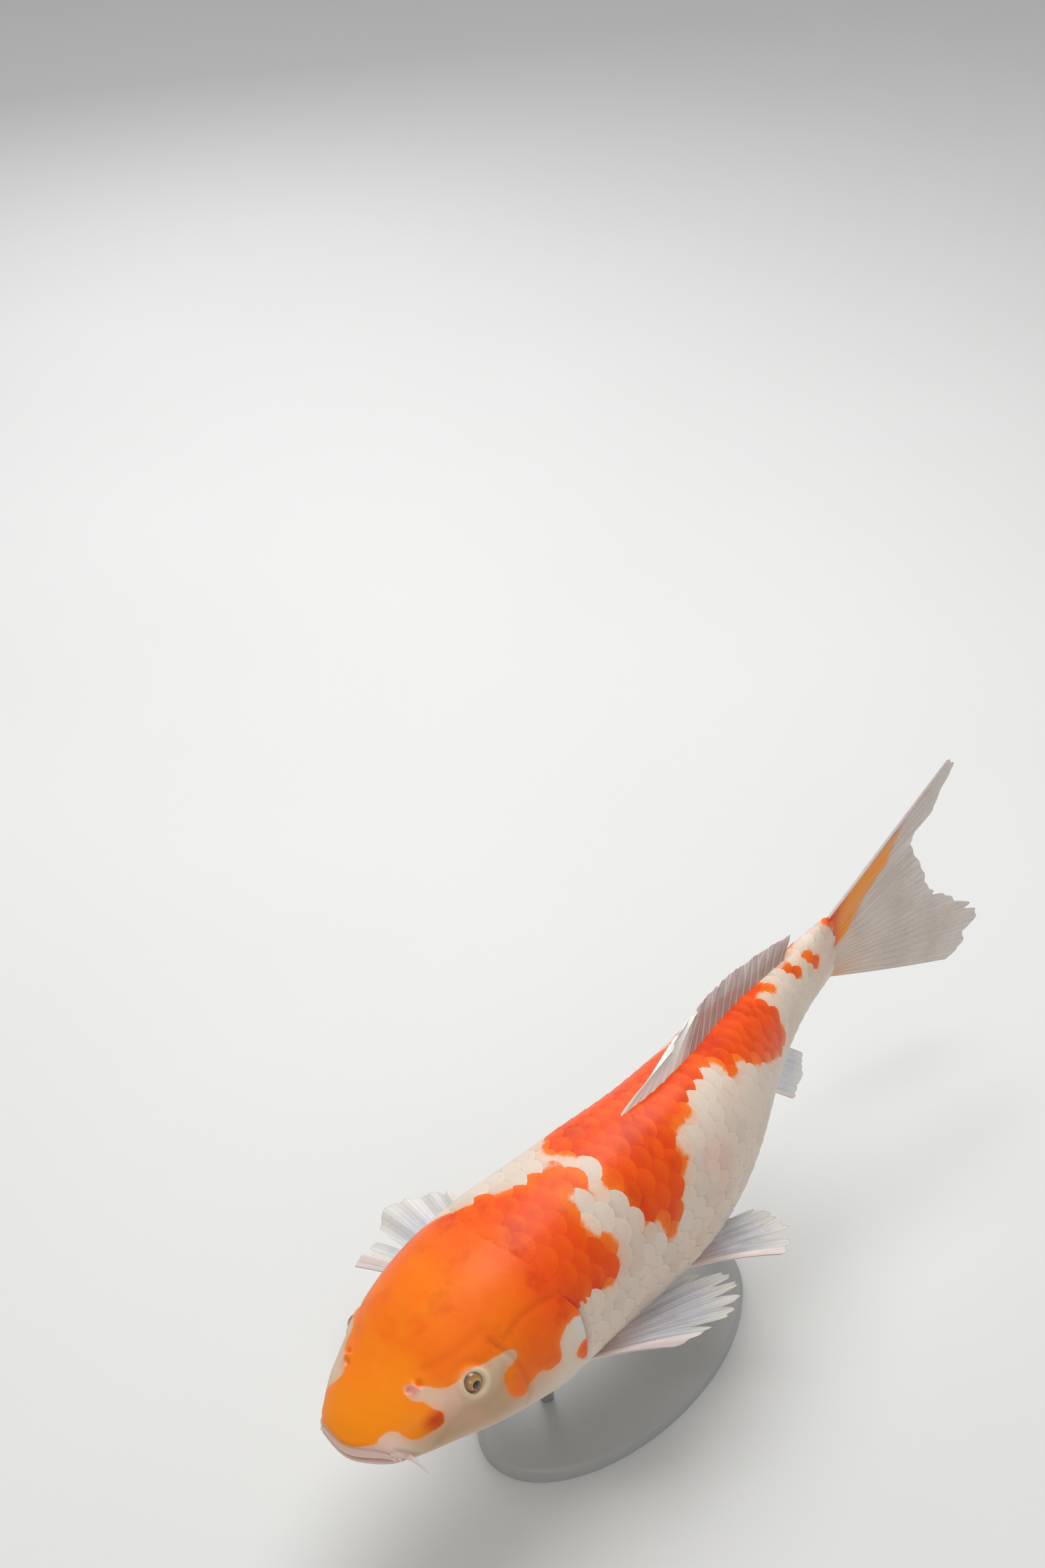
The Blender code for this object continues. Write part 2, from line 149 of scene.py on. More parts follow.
def axes_at(t):
    """The body's directions at stations: tailwards, to the fish's left and up its back."""
    t, tilt = np.asarray(t, float), radians(PITCH)
    turn, roll = np.radians(heading(t)), np.radians(roll_at(t))[..., None]
    back = np.stack([np.sin(turn), np.cos(turn) * cos(tilt), np.cos(turn) * sin(tilt)], -1)
    level = np.stack([np.cos(turn), -np.sin(turn), np.zeros_like(turn)], -1)
    upright = np.cross(level, back)
    return back, level * np.cos(roll) + upright * np.sin(roll), upright * np.cos(roll) - level * np.sin(roll)


def place(t, aside=0.0, above=0.0):
    """The points at stations, so far to the left of the axis and so far above it."""
    t, aside, above = np.broadcast_arrays(np.asarray(t, float), aside, above)
    centre = np.stack([np.interp(t, SPINE_STATIONS, SPINE_POINTS[:, axis]) for axis in range(3)], -1)
    _, left, up = axes_at(t)
    return centre + (left * aside[..., None] + up * above[..., None]) * UNIT


def rounded(value):
    """Pulls a sine or cosine towards 1, which fills a section's corners."""
    return np.abs(value) ** ROUNDNESS * np.sign(value)


def on_body(t, angle, out=0.0):
    """The points of the body at stations and angles, or so many metres outside it."""
    side, rise = rounded(np.cos(np.radians(angle))), rounded(np.sin(np.radians(angle)))
    reach = np.where(rise > 0, height(t), depth(t))
    grow = np.asarray(out) / UNIT
    return place(t, side * (half_width(t) + grow), rise * (reach + grow))


def above_flank(angle):
    """How far an angle lies above the nearer flank, from -90 to 90."""
    angle = (np.asarray(angle, float) + 90) % 360 - 90
    return np.where(angle <= 90, angle, 180 - angle)


def ease(value, start, end):
    """0 before start, 1 after end, and smooth between them."""
    f = np.clip((np.asarray(value, float) - start) / (end - start), 0, 1)
    return f * f * (3 - 2 * f)


print("nose at", np.round(place(0.0), 4), "tail root at", np.round(place(0.96), 4))

# %% [markdown]
# ## A chart of the skin
#
# Creases, barbel roots and the edges of the markings are all curves on the skin. A chart
# turns a station and an angle into two lengths, along and round the body, so that one
# function can say how far any place is from any such curve.


# %% Distances on the chart
def girth_radius(t):
    """The radius in metres of a circle about as large as the body's section."""
    return UNIT * (half_width(t) + (height(t) + depth(t)) / 2) / 2


def chart(t, angle):
    return np.stack([np.asarray(t) * UNIT, np.radians(angle) * girth_radius(t)], -1)


def smooth_loop(points, pieces=4):
    """A closed loop of points made rounder, by a Catmull-Rom curve through them."""
    p = np.array(points, float)
    before, after, later = np.roll(p, 1, 0), np.roll(p, -1, 0), np.roll(p, -2, 0)
    made = []
    for f in np.arange(pieces) / pieces:
        bend = 2 * before - 5 * p + 4 * after - later
        twist = 3 * p - before - 3 * after + later
        made.append(0.5 * (2 * p + (after - before) * f + bend * f * f + twist * f**3))
    return np.stack(made, 1).reshape(-1, 2)


def distance_to(path, t, angle, closed=False):
    """The metres on the chart from places to a path, and whether they lie inside a closed one."""
    x, y = chart(np.asarray(t), np.asarray(angle)).T
    line = chart(*np.array(path, float).T)
    ends = np.roll(line, -1, 0) if closed else line[1:]
    nearest = np.full(x.shape, 1e9)
    inside = np.zeros(x.shape, bool)
    for (x0, y0), (x1, y1) in zip(line, ends):
        dx, dy = x1 - x0, y1 - y0
        f = np.clip(((x - x0) * dx + (y - y0) * dy) / (dx * dx + dy * dy + 1e-12), 0, 1)
        nearest = np.minimum(nearest, np.hypot(x - x0 - f * dx, y - y0 - f * dy))
        if closed and y0 != y1:
            inside ^= ((y0 > y) != (y1 > y)) & (x < x0 + (y - y0) * dx / dy)
    return nearest, inside


# %% [markdown]
# ## The markings
#
# A koi's red is called hi, and lies in a few clear patches on white. A pattern of plain
# noise would put the patches anywhere, so each patch is a loop of places on the chart.
# The skin and the scales both store how deep they lie inside the nearest patch, in
# metres, and their finish turns that depth into colour. The edge is made ragged there.

# %% The patches
PATCHES = {
    "cap": (
        (0.002, 90), (0.004, 72), (0.013, 50), (0.024, 50), (0.033, 45), (0.036, 35), (0.039, 23),
        (0.046, 15), (0.056, 12), (0.068, 10), (0.078, 12), (0.082, 22), (0.077, 32), (0.075, 41),
        (0.071, 47), (0.067, 53), (0.069, 61), (0.075, 64), (0.081, 58), (0.087, 51), (0.093, 42),
        (0.102, 36), (0.113, 33), (0.125, 34), (0.138, 31), (0.152, 27), (0.170, 25), (0.185, 21),
        (0.184, 15), (0.171, 14), (0.160, 11), (0.159, 1), (0.164, -7), (0.178, -11), (0.190, -5),
        (0.205, -2), (0.223, -5), (0.240, -3), (0.245, 5), (0.257, 10), (0.275, 12), (0.287, 11),
        (0.299, 13), (0.307, 19), (0.328, 12), (0.350, 12), (0.364, 22), (0.361, 33), (0.346, 46),
        (0.342, 62), (0.335, 82), (0.312, 96), (0.284, 107), (0.258, 116), (0.240, 132), (0.226, 150),
        (0.206, 168), (0.184, 172), (0.160, 168), (0.142, 162), (0.128, 152), (0.117, 139), (0.105, 134),
        (0.092, 137), (0.080, 132), (0.070, 125), (0.062, 122), (0.055, 130), (0.051, 148), (0.042, 166),
        (0.020, 168), (0.009, 142), (0.003, 112),
    ),
    "islet": (
        (0.338, 97), (0.352, 93), (0.366, 89), (0.376, 82), (0.376, 74), (0.379, 64), (0.370, 62),
        (0.361, 72), (0.348, 74), (0.333, 79), (0.327, 88),
    ),
    "saddle": (
        (0.370, 104), (0.374, 95), (0.388, 87), (0.400, 80), (0.402, 72), (0.392, 66), (0.388, 57),
        (0.400, 59), (0.405, 47), (0.411, 37), (0.407, 29), (0.414, 22), (0.429, 23), (0.436, 15),
        (0.442, 8), (0.452, 12), (0.462, 19), (0.475, 25), (0.484, 34), (0.499, 40), (0.495, 50),
        (0.502, 59), (0.518, 61), (0.536, 61), (0.548, 71), (0.566, 70), (0.580, 70), (0.592, 79),
        (0.606, 75), (0.612, 66), (0.609, 58), (0.619, 51), (0.634, 55), (0.648, 49), (0.662, 40),
        (0.690, 28), (0.712, 18), (0.732, 10), (0.756, 8), (0.773, 14), (0.770, 36), (0.778, 48),
        (0.768, 62), (0.764, 75), (0.778, 72), (0.798, 60), (0.806, 66), (0.800, 82), (0.790, 100),
        (0.760, 118), (0.724, 140), (0.690, 150), (0.664, 136), (0.640, 122), (0.606, 128), (0.584, 142),
        (0.548, 160), (0.506, 170), (0.470, 158), (0.440, 150), (0.412, 132), (0.386, 120),
    ),
    "stalk_right": (
        (0.836, 122), (0.852, 134), (0.878, 138), (0.900, 126), (0.897, 106), (0.882, 97), (0.864, 105),
        (0.848, 113),
    ),
    "stalk_left": ((0.836, 80), (0.852, 76), (0.869, 60), (0.868, 49), (0.854, 47), (0.842, 62)),
    "stalk_end": ((0.884, 68), (0.900, 50), (0.914, 34), (0.904, 14), (0.894, 24), (0.889, 44)),
    "tail_root": (
        (0.944, 84), (0.950, 66), (0.958, 48), (0.972, 40), (0.985, 50), (0.985, 120), (0.966, 126),
        (0.952, 108),
    ),
    "gill_fleck": ((0.266, -8), (0.276, -3), (0.290, -4), (0.292, -11), (0.284, -18), (0.273, -15)),
    "flank_fleck": ((0.588, 196), (0.604, 204), (0.622, 198), (0.620, 186), (0.600, 184)),
}


def patch_depth(t, angle):
    """Metres inside the nearest patch, or minus the metres outside all of them."""
    angle = (np.asarray(angle, float) + 90) % 360 - 90
    deepest = np.full(np.shape(t), -1.0)
    for loop in PATCHES.values():
        away, inside = distance_to(smooth_loop(loop), t, angle, closed=True)
        deepest = np.maximum(deepest, np.where(inside, away, -away))
    return deepest


print("patches:", ", ".join(PATCHES))

# %% [markdown]
# ## The relief of the head
#
# Under its slime a carp's head is bare skin over bone. Thick lips close a small mouth, a
# fold runs behind them, two openings make up each nostril, a soft rim holds each eye and
# shallow grooves part the plates of the cheek and the gill cover. Sculpting would give
# this by hand. Here each feature is a crease along a curve or a swelling round a place,
# and the sum of them moves the skin out or in.

# %% Creases and swellings
HEAD_BED = 0.0005  # how far the head's skin lies inside the solid
TRUNK_BED = 0.0015  # and the trunk's, which leaves room for the scales
HEAD_END = 0.34  # no crease lies behind this station
# creases are darkened with painted shade, in full at this depth
FULL_SHADE_DEPTH = 0.0012  # a crease as deep as this is fully darkened
# points along it (station, angle above the flank), depth and half width in metres
CREASES = {
    "mouth corner": (((0.020, 0), (0.028, -6), (0.035, -14)), 0.0016, 0.0012),
    "upper lip fold": (((0.019, 26), (0.029, 10), (0.039, -6), (0.044, -20)), 0.0009, 0.0013),
    "lower lip fold": (((0.042, -22), (0.034, -42), (0.027, -64), (0.025, -90)), 0.0010, 0.0014),
    "snout fold": (((0.046, -18), (0.060, -4), (0.082, 6), (0.104, 10)), 0.0004, 0.0026),
    "cheek": (((0.104, 10), (0.128, 3), (0.152, 6), (0.166, 18)), 0.0004, 0.0030),
    "cheek plate": (
        ((0.168, 34), (0.181, 16), (0.187, -6), (0.185, -28), (0.172, -48), (0.146, -64), (0.112, -74)),
        0.0007, 0.0022,
    ),
    "cover plate": (((0.190, -32), (0.222, -30), (0.256, -36)), 0.0006, 0.0018),
    "under cover": (((0.186, -50), (0.208, -58), (0.224, -66)), 0.0006, 0.0018),
    "cover top": (((0.184, 30), (0.214, 33), (0.246, 32), (0.266, 30)), 0.0005, 0.0026),
    "chin": (((0.030, -90), (0.150, -90)), 0.0010, 0.0026),
    "throat": (((0.048, -60), (0.080, -66), (0.120, -72), (0.170, -78)), 0.0007, 0.0020),
    "brow": (((0.100, 58), (0.125, 50), (0.150, 46), (0.172, 44)), 0.0004, 0.0030),
}
# station, angle above the flank, height, reach along and reach round, in metres
SWELLINGS = {
    "lip corner": (0.026, 4, 0.0010, 0.0060, 0.0060),
    "cheek": (0.135, -14, 0.0010, 0.012, 0.010),
    "snout side": (0.070, 24, 0.0008, 0.010, 0.007),
    "gill cover": (0.232, 0, 0.0016, 0.016, 0.018),
    "jaw": (0.060, -44, 0.0008, 0.012, 0.006),
    "nostril flap": (0.0795, 57, 0.0013, 0.0018, 0.0030),
    "front nostril": (0.0740, 59, -0.0026, 0.0013, 0.0014),
    "rear nostril": (0.0850, 55, -0.0028, 0.0014, 0.0022),
    "nostril rim": (0.0800, 57, 0.0007, 0.0065, 0.0048),
    "vent": (0.735, -90, 0.0020, 0.0040, 0.0050),
    "fin shoulder": (0.290, -52, 0.0016, 0.0080, 0.0080),
}

# the eye's centre as a station and proportions, and its radius in metres
EYE_STATION = 0.128
EYE_ASIDE = 0.0876
EYE_ABOVE = 0.0355
EYE_RADIUS = 0.0066
EYE_RIM = 1.12  # of the socket's rim, in radii of the eye from the gaze
SOCKET_DEPTH = 0.0048
BEHIND_EYE = -0.012  # skin further back than this lies on the head's other side
SIDES = {"left": 1, "right": -1}


def gaze(side):
    """The eye's centre and the direction that it looks in."""
    back, left, up = axes_at(EYE_STATION)
    way = left * side * 0.98 + up * 0.06 - back * 0.12
    return place(EYE_STATION, side * EYE_ASIDE, EYE_ABOVE), way / np.linalg.norm(way)


def away_from_gaze(points, side):
    """How far points lie from one eye's gaze, in its radii, and whether they are on its side."""
    centre, way = gaze(side)
    offset = points - centre
    ahead = offset @ way
    return np.linalg.norm(offset - ahead[:, None] * way, axis=1) / EYE_RADIUS, ahead > BEHIND_EYE


def socket_relief(points):
    """How far the skin round the eyes is raised in a rim, or sunk under the eyeball."""
    moved = np.zeros(len(points))
    for side in SIDES.values():
        aside, here = away_from_gaze(points, side)
        rim = 0.0008 * np.exp(-(((aside - EYE_RIM) / 0.22) ** 2))
        moat = 0.0004 * np.exp(-(((aside - 1.75) / 0.28) ** 2))
        sunk = SOCKET_DEPTH * (1 - ease(aside, 0.60, 0.95))
        moved += np.where(here & (aside < 3), rim - moat - sunk, 0.0)
    return moved


def lid_ring(points):
    """1 on the bare pale ring of skin that holds each eye, 0 away from it."""
    ring = np.zeros(len(points))
    for side in SIDES.values():
        aside, here = away_from_gaze(points, side)
        ring = np.maximum(ring, np.where(here, 1 - ease(aside, 1.20, 1.55), 0.0))
    return ring


def head_relief(t, angle):
    """The metres that the skin of the head lies outside the body, and how much painted shade its creases
    get.
    """
    flank = above_flank(angle)
    out, crease_shade = np.full(len(t), -HEAD_BED), np.zeros(len(t))
    close = t < HEAD_END
    for path, deep, wide in CREASES.values():
        away, _ = distance_to(path, t[close], flank[close])
        fold = np.exp(-((away / wide) ** 2))
        out[close] -= deep * fold
        crease_shade[close] = np.maximum(crease_shade[close], fold * min(1.0, deep / FULL_SHADE_DEPTH))
    for station, middle, high, along, around in SWELLINGS.values():
        run = (t - station) * UNIT / along
        turn = np.radians(flank - middle) * girth_radius(t) / around
        out += high * np.exp(-(run**2) - turn**2)
    out[close] += socket_relief(on_body(t[close], angle[close], -HEAD_BED))
    return out, crease_shade


print("creases:", len(CREASES), "swellings:", len(SWELLINGS))

# %% [markdown]
# ## The skin's lattice
#
# The skin is one closed tube, so no seam shows where the solids under it are parted. A
# grid of faces is rolled round the body. Its rings are spent where the detail is: on the
# lips, which roll inwards to a closed mouth, on the head, and on the free rear edge of
# the gill covers, which folds under itself. Behind that the scales hide it.

# %% Where each ring of the skin goes
AROUND = 352
RINGS = {"mouth": 18, "head": 146, "gill": 14, "trunk": 88, "tail": 6}
LIP_STATION = 0.010
LIP_BACK = 0.016  # how much further back the lips lie at the corners of the mouth
LIP_FOLD = 0.40  # the share of the lips' rings where the upper lip parts from the snout
NAPE_SINK = 0.0008  # how far the skin dips before the first scales on the nape
MEAN_EDGE = 0.270  # the head's rings are even up to here, then stretched to the gill edge
FOLD_END = 0.020  # how far behind the cover's edge the trunk's own skin starts
STALK_END = 0.955
# the lips from their first ring, on the snout, to the slit between them
LIPS = (
    # share of the rings, station, height and width as shares of the first ring's
    (0.00, 0.0100, 1.00, 1.00), (0.15, 0.0070, 0.90, 0.97), (0.30, 0.0047, 0.76, 0.93),
    (LIP_FOLD, 0.0044, 0.66, 0.90), (0.50, 0.0024, 0.58, 0.91), (0.62, 0.0009, 0.44, 0.90),
    (0.74, 0.0009, 0.27, 0.87), (0.87, 0.0026, 0.10, 0.82), (1.00, 0.0100, 0.00, 0.76),
)
lip_forward, lip_height, lip_width = (through([(row[0], row[i]) for row in LIPS]) for i in (1, 2, 3))
# the fold of the gill cover: share of its rings, stations behind the edge, metres outside
GILL_FOLD = (
    (0.00, 0.0000, -0.0004), (0.08, 0.0008, -0.0009), (0.16, 0.0006, -0.0019), (0.26, -0.0022, -0.0029),
    (0.36, -0.0050, -0.0042), (0.46, -0.0020, -0.0054), (0.56, 0.0015, -0.0052), (0.70, 0.0060, -0.0040),
    (0.84, 0.0120, -0.0027), (1.00, FOLD_END, -TRUNK_BED),
)
fold_back = through([(f, back) for f, back, _ in GILL_FOLD])
fold_out = through([(f, out) for f, _, out in GILL_FOLD])
fold_after = through([(0.0, -0.0052)] + [(back, out) for _, back, out in GILL_FOLD[6:]])


def gill_open(angle):
    """1 where the gill cover's edge is free, 0 over the nape and under the throat."""
    flank = above_flank(angle)
    return (1 - ease(flank, 12, 34)) * ease(flank, -88, -74)


def ring_shares():
    """Where each stretch of rings starts and ends, as shares of the whole lattice."""
    total, start, shares = sum(RINGS.values()), 0, {}
    for name, count in RINGS.items():
        shares[name] = (start / total, (start + count) / total)
        start += count
    return shares


def skin_places(across, along):
    """The points of the skin, their stations, angles and how much painted shade they get in creases, in the
    gill fold and at the mouth.
    """
    angle = -90 + 360 * across
    edge = gill_edge(above_flank(angle))
    free = gill_open(angle)
    f = {name: (along - low) / (high - low) for name, (low, high) in ring_shares().items()}

    # the head, from the lips to the edge of the gill covers
    u = np.clip(f["head"], 0, 1)
    side, rise = rounded(np.cos(np.radians(angle))), rounded(np.sin(np.radians(angle)))
    first = LIP_STATION + LIP_BACK * side**2
    t = first + (MEAN_EDGE - first) * u + (edge - MEAN_EDGE) * u * u
    out, crease_shade = head_relief(t, angle)
    out = out - (1 - free) * NAPE_SINK * ease(t, edge - 0.045, edge)
    cover_out = out.copy()

    # the fold under that edge, which flattens out over the nape and under the throat
    g = np.clip(f["gill"], 0, 1)
    in_gill = f["gill"] > 1e-6
    t = np.where(in_gill, edge + free * fold_back(g) + (1 - free) * FOLD_END * g, t)
    plain = cover_out + (-TRUNK_BED - cover_out) * ease(g, 0.0, 0.7)
    folded = fold_out(g) + (cover_out + HEAD_BED) * (1 - ease(g, 0.1, 0.4))
    out = np.where(in_gill, free * folded + (1 - free) * plain, out)
    # the fold is darkened with painted shade where it tucks under the cover's edge
    crease_shade = np.where(in_gill, free * ease(g, 0.05, 0.25) * (1 - ease(g, 0.55, 0.9)), crease_shade)

    # the trunk, and the root of the tail fin
    b = np.clip(f["trunk"], 0, 1)
    in_trunk = f["trunk"] > 1e-6
    t = np.where(in_trunk, edge + FOLD_END + (STALK_END - edge - FOLD_END) * b, t)
    swell = head_relief(t, angle)[0] + HEAD_BED
    out = np.where(in_trunk, -TRUNK_BED + swell * ease(b, 0.0, 0.03), out)
    end = np.clip(f["tail"], 0, 1)
    t = np.where(f["tail"] > 1e-6, STALK_END + (BODY_END + 0.004 - STALK_END) * end, t)
    points = on_body(t, angle, out)

    # the lips, rolled in as far as the slit of the mouth
    c = np.clip(1 - f["mouth"], 0, 1)
    lips = c > 1e-6
    reach = np.where(rise > 0, height(t), depth(t)) + out / UNIT
    t_lip = lip_forward(c) + LIP_BACK * side**2
    rolled = place(t_lip, side * (half_width(t) + out / UNIT) * lip_width(c), rise * reach * lip_height(c))
    points = np.where(lips[:, None], rolled, points)
    t = np.where(lips, first * (1 - c / LIP_FOLD), t)
    # painted shade in the upper lip's fold and towards the slit of the mouth
    fold = 0.8 * np.exp(-(((c - LIP_FOLD) / 0.06) ** 2)) * (rise > 0)
    crease_shade = np.where(lips, np.maximum(ease(c, 0.80, 1.0), fold), crease_shade)

    # the last ring is pressed flat, so that it closes inside the tail fin
    closed = ease(end, 0, 1)[:, None]
    points = points * (1 - closed) + place(t, 0.0, rise * reach) * closed
    return points, t, angle, crease_shade


# %% Making meshes
def grid(across, along):
    """A bmesh grid with a map on it, and each corner's two shares as arrays."""
    bm = bmesh.new()
    bm.loops.layers.uv.new("OFBake")
    bmesh.ops.create_grid(bm, x_segments=across, y_segments=along, size=0.5, calc_uvs=True)
    shares = np.array([corner.co[:2] for corner in bm.verts]) + 0.5
    return bm, np.clip(shares[:, 0], 0, 1), np.clip(shares[:, 1], 0, 1)


def put(bm, points, **values):
    """Moves the corners of a bmesh, and gives them named vectors for the finish to read."""
    layers = [(bm.verts.layers.float_vector.new(name), rows) for name, rows in values.items()]
    for index, (corner, point) in enumerate(zip(bm.verts, points)):
        corner.co = point
        for layer, rows in layers:
            corner[layer] = rows[index]


def mesh_from(name, bm):
    """The mesh that a bmesh makes. The bmesh can't be used again."""
    mesh = bpy.data.meshes.new(name)
    bm.to_mesh(mesh)
    bm.free()
    return mesh


def add_object(name, data):
    """A new object in the scene, which holds a mesh, a lamp or a camera."""
    made = bpy.data.objects.new(name, data)
    bpy.context.scene.collection.objects.link(made)
    return made


def finish_piece(name, bm, material, replaced=(), outwards=True, crisp=None):
    """Turns a bmesh into a smooth piece that rides on the body and stands for CAD nodes."""
    if outwards:
        bmesh.ops.recalc_face_normals(bm, faces=bm.faces)
    mesh = mesh_from(name, bm)
    mesh.shade_smooth()
    if crisp:
        mesh.set_sharp_from_angle(angle=radians(crisp))
    mesh.materials.append(material)
    piece = add_object(name, mesh)
    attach(piece, "root")
    if replaced:
        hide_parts(*replaced)
    triangles = sum(len(face.vertices) - 2 for face in mesh.polygons)
    print(f"{name}: {triangles} triangles")
    return piece


def add_values(piece, **values):
    """Adds one number per corner of a piece's mesh, under each name."""
    for name, numbers in values.items():
        layer = piece.data.attributes.new(name, "FLOAT", "POINT")
        layer.data.foreach_set("value", np.asarray(numbers, np.float32))


def read_vectors(piece, name):
    mesh = piece.data
    found = np.empty(len(mesh.vertices) * 3, np.float32)
    mesh.attributes[name].data.foreach_get("vector", found)
    return found.reshape(-1, 3).astype(float)


# %% [markdown]
# ## Finishes as Python sums
#
# A finish is a tree of nodes, but colour rules read better as sums. Wire wraps one
# socket, so that `1 - mask` adds a Math node, and Finish makes any other node in one
# call: its settings first, because they can change its sockets, then its inputs.


# %% Wires and finishes
class Wire:
    """A number in a finish. Python sums on it add Math nodes."""

    def __init__(self, finish, socket):
        self.finish, self.socket = finish, socket

    def __add__(self, other):
        return self.finish.math("ADD", self, other)

    def __sub__(self, other):
        return self.finish.math("SUBTRACT", self, other)

    def __rsub__(self, other):
        return self.finish.math("SUBTRACT", other, self)

    def __mul__(self, other):
        return self.finish.math("MULTIPLY", self, other)

    def __truediv__(self, other):
        return self.finish.math("DIVIDE", self, other)

    __radd__, __rmul__ = __add__, __mul__


class Finish:
    """A material round one Principled shader."""

    def __init__(self, name, **constants):
        self.material = bpy.data.materials.new(name)
        self.material.use_nodes = True
        self.tree = self.material.node_tree
        self.shader = self.tree.nodes["Principled BSDF"]
        for socket, value in constants.items():
            self.feed(self.shader.inputs[socket.replace("_", " ")], value)

    def feed(self, socket, value):
        if isinstance(value, Wire):
            self.tree.links.new(value.socket, socket)
        elif value is not None:
            if isinstance(value, tuple) and len(value) == 3 and len(socket.default_value) == 4:
                value = (*value, 1.0)
            socket.default_value = value

    def node(self, kind, settings=None, inputs=None, output=0):
        made = self.tree.nodes.new("ShaderNode" + kind)
        for name, value in (settings or {}).items():
            setattr(made, name, value)
        for key, value in (inputs or {}).items():
            self.feed(made.inputs[key], value)
        return Wire(self, made.outputs[output])

    def math(self, operation, *values):
        return self.node("Math", {"operation": operation}, dict(enumerate(values)))

    def mix(self, amount, first, second, blend="MIX"):
        """Two colours mixed, by an amount from 0 to 1."""
        settings = {"data_type": "RGBA", "blend_type": blend, "clamp_factor": True}
        return self.node("Mix", settings, {0: amount, 6: first, 7: second}, 2)

    def step(self, value, start, end, low=0.0, high=1.0):
        """low before start, high after end, and smooth between them."""
        inputs = {"Value": value, "From Min": start, "From Max": end, "To Min": low, "To Max": high}
        return self.node("MapRange", {"interpolation_type": "SMOOTHSTEP"}, inputs)

    def own(self, name, output="Fac"):
        """A number or vector that the mesh stores."""
        return self.node("Attribute", {"attribute_name": name}, output=output)

    def parts(self, vector):
        made = self.node("SeparateXYZ", inputs={0: vector}).socket.node
        return [Wire(self, output) for output in made.outputs]

    def where(self):
        return self.node("TexCoord", output="Object")

    def noise(self, scale, detail=2.0, rough=0.5, vector=None):
        inputs = {"Vector": vector or self.where(), "Scale": scale, "Detail": detail, "Roughness": rough}
        return self.node("TexNoise", inputs=inputs)

    def bump(self, value, distance, strength=1.0, normal=None):
        inputs = {"Height": value, "Distance": distance, "Strength": strength, "Normal": normal}
        return self.node("Bump", inputs=inputs)

    def show(self, **sockets):
        for name, value in sockets.items():
            self.feed(self.shader.inputs[name.replace("_", " ")], value)
        return self.material


def paint(red, green, blue):
    """A colour as the eye names it, in the linear numbers that shaders use."""
    return tuple(((c + 0.055) / 1.055) ** 2.4 if c > 0.04045 else c / 12.92 for c in (red, green, blue))


# %% [markdown]
# ## The koi's skin colours
#
# Hi is bright and yellowish where the skin is thin, on the snout and at the rim of each
# patch, and deep red-orange where the scales are thick on the back. The white is warm on
# the head, with painted shade in a darker tan on the lower cheek, faintly grey on the back
# and flanks, and clean under the belly. The skin's creases, gill folds and mouth are
# darkened as painted shade. Skin and scales share this one recipe, and only the scales add
# their rims, growth rings, mottling and a painted shadow at each root.

# %% The koi finish
HI_SNOUT = paint(1.0, 0.56, 0.01)
HI_HEAD = paint(1.0, 0.46, 0.01)
HI_BACK = paint(0.96, 0.31, 0.02)
HI_DEEP = paint(0.80, 0.17, 0.01)
HI_RIM = paint(1.0, 0.56, 0.13)
WHITE_BACK = paint(0.90, 0.83, 0.76)
WHITE_HEAD = paint(0.88, 0.76, 0.64)
WHITE_BELLY = paint(0.93, 0.89, 0.83)
# a darker tan, painted on the lower cheek as shade
CHEEK_SHADE_TAN = paint(0.72, 0.58, 0.42)
LID_CREAM = paint(0.93, 0.88, 0.72)
HEM_BLUE = paint(0.87, 0.87, 0.86)
BLUSH = paint(0.94, 0.68, 0.60)
NOSTRIL_PINK, LIP_PALE = paint(0.96, 0.60, 0.56), paint(0.93, 0.79, 0.74)
# grey-brown for the painted shadow at the scales' roots, the lateral line's dark pores and randomly darker
# white scales
SHADE = paint(0.45, 0.38, 0.34)
# painted shade for creases, folds and the mouth, on white skin and on hi
CREASE_SHADE, CREASE_SHADE_ON_HI = paint(0.55, 0.36, 0.30), paint(0.66, 0.16, 0.03)


